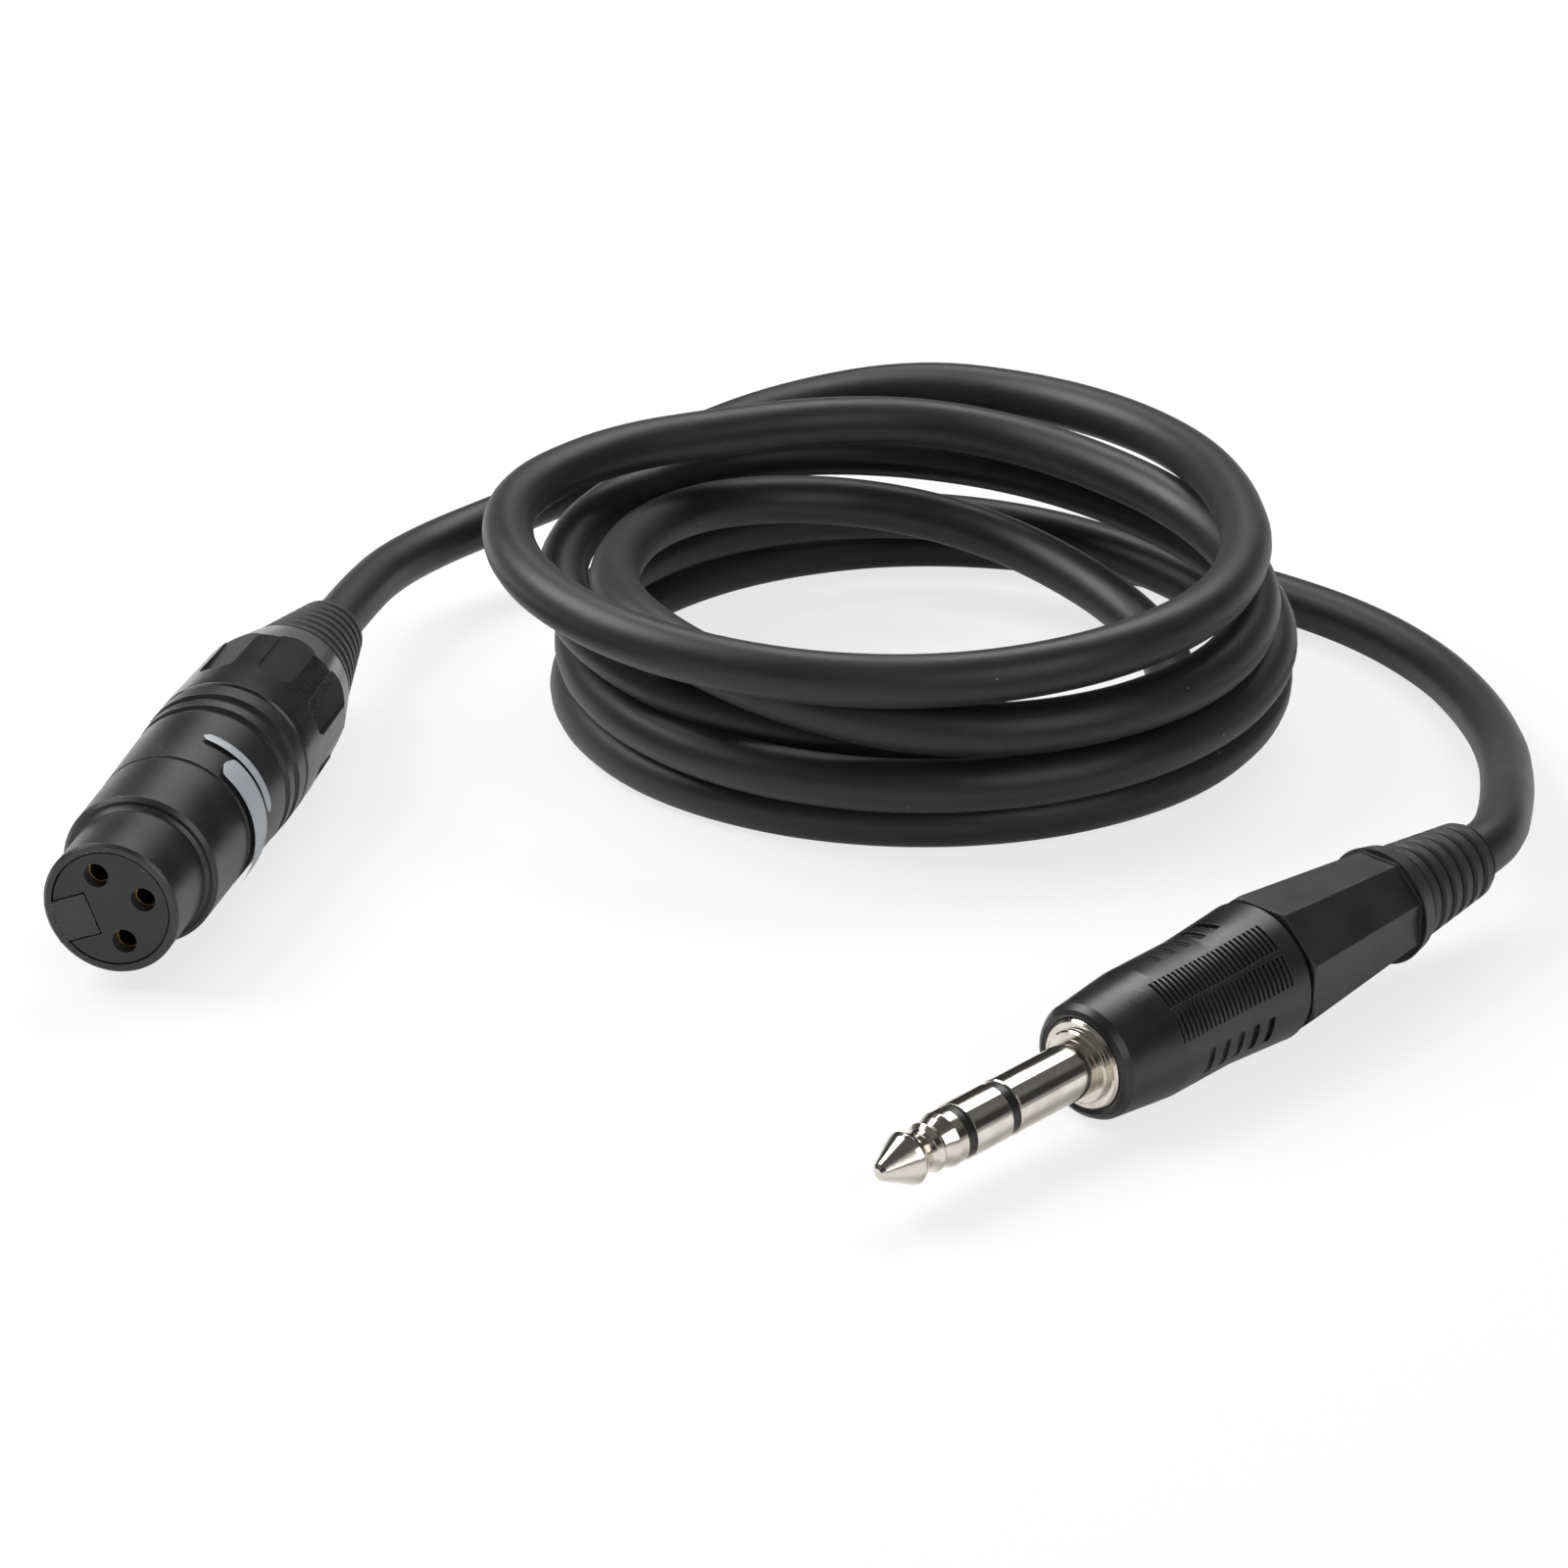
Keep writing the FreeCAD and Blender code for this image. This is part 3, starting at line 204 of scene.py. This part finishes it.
class Look:
    """One material, built node by node. Lengths inside it are in millimetres."""

    def __init__(self, name, where=None, edge=0.12):
        self.material = bpy.data.materials.new(name)
        self.material.use_nodes = True
        self.tree = self.material.node_tree
        self.tree.nodes.clear()
        out = self.node("ShaderNodeOutputMaterial")
        self.shader = self.node("ShaderNodeBsdfPrincipled")
        self.tree.links.new(self.shader.outputs[0], out.inputs[0])
        coords = self.node("ShaderNodeTexCoord")
        mapping = self.node("ShaderNodeMapping")
        mapping.inputs["Scale"].default_value = (1000.0, 1000.0, 1000.0)
        if where is not None:
            back = where.inverted()
            mapping.inputs["Rotation"].default_value = back.to_euler()
            mapping.inputs["Location"].default_value = back.translation * 1000.0
        self.tree.links.new(coords.outputs["Object"], mapping.inputs["Vector"])
        self.spot = mapping.outputs[0]
        self.normal = None
        if edge:
            soft = self.node("ShaderNodeBevel")
            soft.samples = FINE_BEVEL
            soft.inputs["Radius"].default_value = edge * MM
            self.normal = soft.outputs[0]

    def node(self, kind, **options):
        made = self.tree.nodes.new(kind)
        for key, value in options.items():
            setattr(made, key, value)
        return made

    @staticmethod
    def paint(colour):
        """A socket as it is, or a plain colour with its alpha."""
        return colour if isinstance(colour, bpy.types.NodeSocket) else (*colour, 1.0)

    def feed(self, value, socket):
        if isinstance(value, bpy.types.NodeSocket):
            self.tree.links.new(value, socket)
        else:
            socket.default_value = value

    def sum(self, operation, *values):
        made = self.node("ShaderNodeMath", operation=operation)
        for value, socket in zip(values, made.inputs):
            self.feed(value, socket)
        return made.outputs[0]

    def span(self, value, low, high, to_low, to_high):
        """value from low..high moved to to_low..to_high and kept there."""
        made = self.node("ShaderNodeMapRange")
        for key, number in (("From Min", low), ("From Max", high), ("To Min", to_low), ("To Max", to_high)):
            made.inputs[key].default_value = number
        self.feed(value, made.inputs["Value"])
        return made.outputs[0]

    def stretch(self, x, y, z):
        made = self.node("ShaderNodeVectorMath", operation="MULTIPLY")
        self.tree.links.new(self.spot, made.inputs[0])
        made.inputs[1].default_value = (x, y, z)
        return made.outputs[0]

    def noise(self, size, detail=2.0, rough=0.5, at=None):
        """Soft noise whose patches are about size millimetres across."""
        made = self.node("ShaderNodeTexNoise")
        made.inputs["Scale"].default_value = 1.0 / size
        made.inputs["Detail"].default_value = detail
        made.inputs["Roughness"].default_value = rough
        self.tree.links.new(at or self.spot, made.inputs["Vector"])
        return made.outputs[0]

    def specks(self, spacing, size, share):
        """Round dots of about size, one for every few cells of the given spacing."""
        made = self.node("ShaderNodeTexVoronoi")
        made.inputs["Scale"].default_value = 1.0 / spacing
        self.tree.links.new(self.spot, made.inputs["Vector"])
        dot = self.span(made.outputs["Distance"], 0.5 * size / spacing, 0.8 * size / spacing, 1.0, 0.0)
        pick = self.node("ShaderNodeSeparateColor")
        self.tree.links.new(made.outputs["Color"], pick.inputs[0])
        return self.sum("MULTIPLY", dot, self.sum("LESS_THAN", pick.outputs[0], share))

    def axial(self):
        apart = self.node("ShaderNodeSeparateXYZ")
        self.tree.links.new(self.spot, apart.inputs[0])
        return apart.outputs

    def wear(self, low=0.02, high=0.25):
        """How sharp an edge is here, from the gap between soft and true normals."""
        true = self.node("ShaderNodeNewGeometry")
        soft = self.node("ShaderNodeBevel")
        soft.samples = FINE_BEVEL
        soft.inputs["Radius"].default_value = 0.22 * MM
        cosine = self.node("ShaderNodeVectorMath", operation="DOT_PRODUCT")
        self.tree.links.new(soft.outputs[0], cosine.inputs[0])
        self.tree.links.new(true.outputs["Normal"], cosine.inputs[1])
        sharp = self.sum("SUBTRACT", 1.0, cosine.outputs["Value"])
        return self.span(sharp, low, high, 0.0, 1.0)

    def blend(self, factor, first, second):
        made = self.node("ShaderNodeMix", data_type="RGBA")
        self.feed(factor, made.inputs[0])
        for value, socket in ((first, made.inputs[6]), (second, made.inputs[7])):
            self.feed(self.paint(value), socket)
        return made.outputs[2]

    def bump(self, height, depth, strength=1.0):
        """Raises the surface by height times depth millimetres, on top of what was there."""
        made = self.node("ShaderNodeBump")
        made.inputs["Strength"].default_value = strength
        made.inputs["Distance"].default_value = depth * MM
        self.tree.links.new(height, made.inputs["Height"])
        if self.normal:
            self.tree.links.new(self.normal, made.inputs["Normal"])
        self.normal = made.outputs[0]

    def done(self, colour, roughness, **sockets):
        self.feed(self.paint(colour), self.shader.inputs["Base Color"])
        self.feed(roughness, self.shader.inputs["Roughness"])
        for name, value in sockets.items():
            self.shader.inputs[name.replace("_", " ")].default_value = value
        if self.normal:
            self.tree.links.new(self.normal, self.shader.inputs["Normal"])
        return self.material


def satin_paint(name, where):
    """Satin black paint on die-cast metal: fine orange peel, dust, and bare glints on the edges."""
    look = Look(name, where, edge=0.15)
    broad = look.noise(9.0, 3.0)
    fine = look.noise(0.35, 3.0)
    colour = look.blend(look.span(broad, 0.3, 0.7, 0.0, 1.0), (0.013, 0.013, 0.014), (0.021, 0.021, 0.022))
    rubbed = look.wear(0.03, 0.3)
    flaked = look.span(look.noise(0.5, 4.0, 0.7), 0.52, 0.66, 0.0, 1.0)
    chips = look.sum("MULTIPLY", rubbed, flaked)
    colour = look.blend(chips, colour, (0.34, 0.33, 0.31))
    colour = look.blend(look.specks(1.5, 0.13, 0.16), colour, (0.30, 0.29, 0.26))
    look.bump(fine, 0.012)
    look.bump(look.noise(1.6, 2.0), 0.02, 0.6)
    rough = look.span(broad, 0.3, 0.7, 0.30, 0.42)
    return look.done(colour, rough, Specular_IOR_Level=0.5, Coat_Weight=0.12, Coat_Roughness=0.3)


def moulded(name, where, dark, light, low, high, grain, depth, edge=0.12, dust=0.06, rub=0.7, **sockets):
    """Moulded plastic: cloudy colour, a fine spark-eroded grain, paler rubbed edges and a little dust."""
    look = Look(name, where, edge)
    broad = look.noise(7.0, 3.0)
    fine = look.noise(grain, 3.0, 0.6)
    colour = look.blend(look.span(broad, 0.3, 0.7, 0.0, 1.0), dark, light)
    rubbed = look.sum("MULTIPLY", look.wear(), look.span(look.noise(2.2, 3.0), 0.35, 0.65, 0.2 * rub, rub))
    colour = look.blend(rubbed, colour, [min(1.0, 1.9 * c + 0.015) for c in light])
    colour = look.blend(look.specks(1.7, 0.12, dust), colour, [min(1.0, c + 0.22) for c in light])
    look.bump(fine, depth)
    mixed = look.sum("ADD", look.sum("MULTIPLY", broad, 0.6), look.sum("MULTIPLY", fine, 0.4))
    return look.done(colour, look.span(mixed, 0.35, 0.65, low, high), **sockets)


def rubber(name, where, dark, light, low, high):
    """Matt rubber: a soft bloom in patches, fine pores and lint."""
    look = Look(name, where, edge=0.1)
    broad = look.noise(11.0, 4.0)
    fine = look.noise(0.28, 3.0, 0.65)
    colour = look.blend(look.span(broad, 0.32, 0.68, 0.0, 1.0), dark, light)
    colour = look.blend(look.sum("MULTIPLY", look.wear(0.05, 0.4), 0.35), colour, [2.0 * c for c in light])
    colour = look.blend(look.specks(2.1, 0.14, 0.10), colour, (0.20, 0.20, 0.19))
    look.bump(fine, 0.014)
    look.bump(look.noise(1.3, 3.0), 0.03, 0.5)
    rough = look.span(broad, 0.3, 0.7, low, high)
    return look.done(colour, rough, Specular_IOR_Level=0.42, Sheen_Weight=0.08, Sheen_Roughness=0.5)


def plated(name, where, colour, tint, low, high, turned=True):
    """Plated metal turned on a lathe: fine rings round the axis, a few long scratches, faint tarnish."""
    look = Look(name, where, edge=0.06)
    rings = look.noise(1.0, 4.0, 0.7, look.stretch(9.0, 0.06, 0.06))
    haze = look.noise(3.5, 4.0, 0.6)
    rubs = look.noise(1.0, 3.0, 0.7, look.stretch(0.12, 7.0, 7.0))
    base = look.blend(look.span(haze, 0.4, 0.72, 0.0, 1.0), colour, tint)
    base = look.blend(look.specks(0.9, 0.1, 0.10), base, [0.35 * c for c in colour])
    if turned:
        look.bump(rings, 0.004, 0.6)
    look.bump(look.span(rubs, 0.58, 0.7, 0.0, 1.0), 0.002, 0.7)
    mixed = look.sum("ADD", look.sum("MULTIPLY", haze, 0.7), look.sum("MULTIPLY", rings, 0.3))
    return look.done(base, look.span(mixed, 0.35, 0.7, low, high), Metallic=1.0)


def gilt(name, where):
    """Gilt contacts: bright at the rim, with painted shade making them near black further down the bore."""
    look = Look(name, where, edge=0.05)
    # painted shade: a mask that grows with depth into the bore
    bore_shade = look.span(look.axial()[0], 1.7, 3.2, 0.0, 1.0)
    haze = look.noise(0.8, 4.0, 0.6)
    colour = look.blend(look.span(haze, 0.35, 0.7, 0.0, 1.0), (0.80, 0.60, 0.27), (0.58, 0.40, 0.17))
    # painted shade: the contacts turn near black down the bore, where light hardly reaches
    colour = look.blend(bore_shade, colour, (0.030, 0.022, 0.012))
    look.bump(haze, 0.004)
    rough = look.sum("ADD", look.span(haze, 0.3, 0.7, 0.2, 0.32), look.sum("MULTIPLY", bore_shade, 0.3))
    return look.done(colour, rough, Metallic=1.0)


def jacket_look():
    """The flexible jacket: matt, drawn along its length, with faint flow ripples and lint."""
    look = Look("jacket", None, edge=0)
    broad = look.noise(16.0, 4.0)
    fine = look.noise(0.3, 3.0, 0.65)
    ripple = look.noise(2.6, 3.0, 0.55)
    shade = look.span(broad, 0.32, 0.68, 0.0, 1.0)
    colour = look.blend(shade, (0.009, 0.009, 0.0098), (0.0145, 0.0145, 0.0155))
    colour = look.blend(look.span(ripple, 0.62, 0.8, 0.0, 0.35), colour, (0.030, 0.030, 0.032))
    colour = look.blend(look.specks(2.6, 0.16, 0.07), colour, (0.24, 0.24, 0.23))
    look.bump(fine, 0.012)
    look.bump(ripple, 0.045, 0.55)
    rough = look.sum("ADD", look.span(broad, 0.3, 0.7, 0.40, 0.50), look.span(fine, 0.3, 0.7, -0.03, 0.03))
    return look.done(colour, rough, Specular_IOR_Level=0.45, Sheen_Weight=0.06, Sheen_Roughness=0.45)


def board(name, where):
    """Pressed board: layered brown fibres."""
    look = Look(name, where, edge=0.05)
    fibres = look.noise(0.6, 5.0, 0.7, look.stretch(6.0, 1.0, 1.0))
    colour = look.blend(look.span(fibres, 0.35, 0.65, 0.0, 1.0), (0.42, 0.26, 0.13), (0.68, 0.50, 0.31))
    look.bump(fibres, 0.03)
    return look.done(colour, look.span(fibres, 0.3, 0.7, 0.6, 0.8))


def strands(name, where):
    """Twisted copper strands, bright on top, with painted shade making them brown in the grooves between
    them.
    """
    look = Look(name, where, edge=0)
    x, y, z = look.axial()
    turn = look.sum("ARCTAN2", z, y)
    lay = look.sum("SINE", look.sum("ADD", look.sum("MULTIPLY", turn, 7.0), look.sum("MULTIPLY", x, 5.0)))
    # painted shade: the grooves between the strands are painted dark brown
    colour = look.blend(look.span(lay, -1.0, 0.6, 0.0, 1.0), (0.20, 0.09, 0.05), (0.80, 0.46, 0.30))
    look.bump(lay, 0.03)
    return look.done(colour, look.span(look.noise(0.5, 3.0), 0.3, 0.7, 0.25, 0.45), Metallic=1.0)


def insulation(name, where, dark, light):
    """Thin wire insulation: waxy, with faint pressure marks."""
    look = Look(name, where, edge=0)
    marks = look.noise(1.1, 3.0, 0.6)
    colour = look.blend(look.span(marks, 0.35, 0.65, 0.0, 1.0), dark, light)
    look.bump(look.noise(0.4, 2.0), 0.012)
    rough = look.span(marks, 0.3, 0.7, 0.32, 0.46)
    return look.done(colour, rough, Subsurface_Weight=0.05, Subsurface_Scale=0.0005)


LOOKS = {
    "shell": satin_paint("shell", SOCKET),
    "latch": satin_paint("latch", SOCKET),
    "insert": moulded(
        "insert", SOCKET, (0.026, 0.026, 0.028), (0.036, 0.036, 0.038), 0.50, 0.62, 0.20, 0.010,
        edge=0.05, Specular_IOR_Level=0.4),
    "contact_gold": gilt("contact_gold", SOCKET),
    "spring_steel": plated(
        "spring_steel", SOCKET, (0.56, 0.57, 0.60), (0.40, 0.41, 0.45), 0.24, 0.38, turned=False),
    "chuck": moulded(
        "chuck", SOCKET, (0.42, 0.42, 0.41), (0.54, 0.54, 0.52), 0.42, 0.56, 0.30, 0.012),
    "bushing": moulded(
        "bushing", SOCKET, (0.0085, 0.0085, 0.0095), (0.0115, 0.0115, 0.0125), 0.26, 0.31, 0.5, 0.0015,
        edge=0.2, rub=0.3, Specular_IOR_Level=0.5, Coat_Weight=0.2, Coat_Roughness=0.14),
    "boot": rubber("boot", SOCKET, (0.010, 0.010, 0.011), (0.016, 0.016, 0.017), 0.46, 0.58),
    "nickel": plated("nickel", PLUG, (0.76, 0.73, 0.67), (0.60, 0.55, 0.47), 0.07, 0.16),
    "plug_insulator": moulded(
        "plug_insulator", PLUG, (0.006, 0.006, 0.007), (0.010, 0.010, 0.011), 0.28, 0.38, 0.5, 0.008,
        edge=0.04),
    "washer": board("washer", PLUG),
    "lug": plated("lug", PLUG, (0.78, 0.76, 0.70), (0.62, 0.58, 0.48), 0.22, 0.36, turned=False),
    "grip": moulded(
        "grip", PLUG, (0.0105, 0.0105, 0.0115), (0.016, 0.016, 0.017), 0.27, 0.37, 0.45, 0.012,
        edge=0.14, Specular_IOR_Level=0.5),
    "cap": moulded(
        "cap", PLUG, (0.013, 0.013, 0.0145), (0.020, 0.020, 0.0215), 0.36, 0.48, 0.30, 0.035,
        edge=0.3, dust=0.09, Specular_IOR_Level=0.5),
    "jacket": jacket_look(),
    "wire_red": insulation("wire_red", SOCKET, (0.42, 0.018, 0.014), (0.62, 0.045, 0.032)),
    "wire_white": insulation("wire_white", SOCKET, (0.70, 0.70, 0.66), (0.84, 0.84, 0.80)),
    "wire_bare": strands("wire_bare", SOCKET),
}

for node in nodes.values():
    for holder in node.material_slots:
        holder.material = LOOKS[holder.material.name.split(".")[0]]
tail_rubber = rubber("boot_plug", PLUG, (0.011, 0.011, 0.012), (0.017, 0.017, 0.018), 0.42, 0.54)
nodes["jack_boot"].material_slots[0].material = tail_rubber
nodes["jack_wire_ground"].material_slots[0].material = strands("wire_bare_plug", PLUG)
cable.data.materials.append(LOOKS["jacket"])


# ---------------------------------------------------------------- small pieces

def piece(name, verts, faces, material, body, slot):
    """A mesh piece from points in the row frame, smooth, riding on a body."""
    mesh = bpy.data.meshes.new(name)
    mesh.from_pydata([tuple(v) for v in verts], [], faces)
    mesh.validate()
    mesh.shade_smooth()
    mesh.materials.append(material)
    made = bpy.data.objects.new(name, mesh)
    bpy.context.scene.collection.objects.link(made)
    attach(made, body)
    return made


def print_look(name, where, colour):
    """Thin printing ink: a little worn through, slightly raised."""
    look = Look(name, where, edge=0)
    worn = look.noise(0.55, 5.0, 0.75)
    shade = look.blend(look.span(worn, 0.60, 0.72, 0.0, 0.8), colour, [0.35 * c for c in colour])
    look.bump(look.noise(0.3, 2.0), 0.008)
    return look.done(shade, look.span(worn, 0.3, 0.7, 0.38, 0.52))


INK = print_look("ink_shell", SOCKET, (0.42, 0.44, 0.47))


def on_socket(x, angle, radius):
    """A point on the socket: along its axis, round it in degrees, at a radius, all in millimetres."""
    a = math.radians(angle)
    return SOCKET @ (Vector((x, radius * math.cos(a), radius * math.sin(a))) * MM)


def band(name, outline):
    """A printed patch on the shell. outline gives, at each angle, its front and rear edge."""
    verts = []
    faces = []
    for angle, front, rear in outline:
        for k in range(5):
            x = front + (rear - front) * k / 4
            verts.append(on_socket(x, angle, SHELL + (INK_HEIGHT if 0 < k < 4 else -0.02)))
    for i in range(len(outline) - 1):
        for k in range(4):
            a = 5 * i + k
            faces.append((a, a + 1, a + 6, a + 5))
    return piece(name, verts, faces, INK, "cable", "shell")


def ends(start, stop, front, rear, step=3.0):
    """Edges of a band from start to stop degrees, rounded off at both ends."""
    rows = []
    count = int(abs(stop - start) / step)
    for i in range(count + 1):
        angle = start + (stop - start) * i / count
        near = min(i, count - i) / 2.0
        cut = 0.5 * (rear - front) * (1.0 - math.sqrt(1.0 - (1.0 - min(near, 1.0)) ** 2)) * 0.8
        rows.append((angle, front + cut, rear - cut))
    return rows


band("mark_wide", ends(-123.0, -30.0, 21.9, 26.3))
band("mark_narrow", ends(-146.0, -74.0, 26.9, 28.5))


def numeral(text, y, z):
    """A small raised number on the insert's face, upright towards the key."""
    data = bpy.data.curves.new("numeral_" + text, "FONT")
    data.body = text
    data.size = 1.9 * MM
    data.extrude = INK_HEIGHT * MM
    data.align_x = "CENTER"
    data.align_y = "CENTER"
    data.materials.append(LOOKS["insert"])
    made = bpy.data.objects.new("numeral_" + text, data)
    bpy.context.scene.collection.objects.link(made)
    facing = Matrix(((0, 0, -1), (-1, 0, 0), (0, 1, 0))).to_4x4()
    made.matrix_world = SOCKET @ Matrix.Translation(Vector((INSERT_FACE, y, z)) * MM) @ facing
    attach(made, "cable")
    return made


numeral("1", 5.33, 2.86)
numeral("2", -3.43, 3.49)
numeral("3", 0.67, -1.11)


# ---------------------------------------------------------------- floor, light

def floor_look():
    """A pale floor that reads white where it is lit and keeps soft shadows."""
    material = bpy.data.materials.new("floor")
    material.use_nodes = True
    tree = material.node_tree
    tree.nodes.clear()
    out = tree.nodes.new("ShaderNodeOutputMaterial")
    lit = tree.nodes.new("ShaderNodeBsdfDiffuse")
    lit.inputs[0].default_value = (0.86, 0.86, 0.86, 1.0)
    glow = tree.nodes.new("ShaderNodeEmission")
    glow.inputs[1].default_value = 1.0
    path = tree.nodes.new("ShaderNodeLightPath")
    mirrored = tree.nodes.new("ShaderNodeMath")
    mirrored.operation = "MULTIPLY"
    mirrored.inputs[1].default_value = 0.22
    tree.links.new(path.outputs["Is Glossy Ray"], mirrored.inputs[0])
    share = tree.nodes.new("ShaderNodeMath")
    share.operation = "MULTIPLY_ADD"
    share.inputs[1].default_value = 0.76
    tree.links.new(path.outputs["Is Camera Ray"], share.inputs[0])
    tree.links.new(mirrored.outputs[0], share.inputs[2])
    mix = tree.nodes.new("ShaderNodeMixShader")
    tree.links.new(share.outputs[0], mix.inputs[0])
    tree.links.new(lit.outputs[0], mix.inputs[1])
    tree.links.new(glow.outputs[0], mix.inputs[2])
    tree.links.new(mix.outputs[0], out.inputs[0])
    return material


FLOOR_REACH = 4.0  # metres each way from the middle
floor_mesh = bpy.data.meshes.new("floor")
corners = [(x * FLOOR_REACH, y * FLOOR_REACH, 0) for x, y in ((-1, -1), (1, -1), (1, 1), (-1, 1))]
floor_mesh.from_pydata(corners, [], [(0, 1, 2, 3)])
floor_mesh.materials.append(floor_look())
floor = bpy.data.objects.new("floor", floor_mesh)
floor.location.z = min(cad_box[0][2], 0.0) - 0.00002
bpy.context.scene.collection.objects.link(floor)


def world_look():
    """White to the camera. Glossy surfaces see a pale horizon, a dark band and a grey ceiling."""
    world = bpy.data.worlds.new("studio")
    world.use_nodes = True
    tree = world.node_tree
    tree.nodes.clear()
    out = tree.nodes.new("ShaderNodeOutputWorld")
    path = tree.nodes.new("ShaderNodeLightPath")
    coords = tree.nodes.new("ShaderNodeTexCoord")
    apart = tree.nodes.new("ShaderNodeSeparateXYZ")
    tree.links.new(coords.outputs["Generated"], apart.inputs[0])
    ramp = tree.nodes.new("ShaderNodeValToRGB")
    stops = [(0.0, 0.38), (0.10, 0.38), (0.20, 0.05), (0.46, 0.035), (0.62, 0.17), (0.85, 0.12), (1.0, 0.09)]
    while len(ramp.color_ramp.elements) < len(stops):
        ramp.color_ramp.elements.new(0.5)
    for element, (position, grey) in zip(ramp.color_ramp.elements, stops):
        element.position = position
        element.color = (grey, grey, grey, 1.0)
    tree.links.new(apart.outputs["Z"], ramp.inputs[0])
    sheen = tree.nodes.new("ShaderNodeBackground")
    tree.links.new(ramp.outputs[0], sheen.inputs[0])
    fill = tree.nodes.new("ShaderNodeBackground")
    fill.inputs[0].default_value = (0.20, 0.20, 0.20, 1.0)
    white = tree.nodes.new("ShaderNodeBackground")
    white.inputs[0].default_value = (1.0, 1.0, 1.0, 1.0)
    glossy = tree.nodes.new("ShaderNodeMixShader")
    tree.links.new(path.outputs["Is Glossy Ray"], glossy.inputs[0])
    tree.links.new(fill.outputs[0], glossy.inputs[1])
    tree.links.new(sheen.outputs[0], glossy.inputs[2])
    seen = tree.nodes.new("ShaderNodeMixShader")
    tree.links.new(path.outputs["Is Camera Ray"], seen.inputs[0])
    tree.links.new(glossy.outputs[0], seen.inputs[1])
    tree.links.new(white.outputs[0], seen.inputs[2])
    tree.links.new(seen.outputs[0], out.inputs[0])
    bpy.context.scene.world = world


world_look()


def lamp(name, spot, aim, width, height, power):
    """A softbox at spot, facing aim, in metres and watts."""
    data = bpy.data.lights.new(name, "AREA")
    data.shape = "RECTANGLE"
    data.size = width
    data.size_y = height
    data.energy = power
    made = bpy.data.objects.new(name, data)
    made.location = spot
    made.rotation_euler = (Vector(aim) - Vector(spot)).to_track_quat("-Z", "Y").to_euler()
    bpy.context.scene.collection.objects.link(made)


middle = (0.01, 0.03, 0.01)
lamp("key", (-0.55, 0.20, 0.62), middle, 0.50, 0.50, 6.8)
lamp("top", (0.15, 0.55, 0.70), middle, 0.70, 0.30, 3.8)
lamp("front", (0.45, -0.60, 0.45), middle, 0.40, 0.60, 2.0)

view = bpy.context.scene.view_settings
view.view_transform = "Standard"
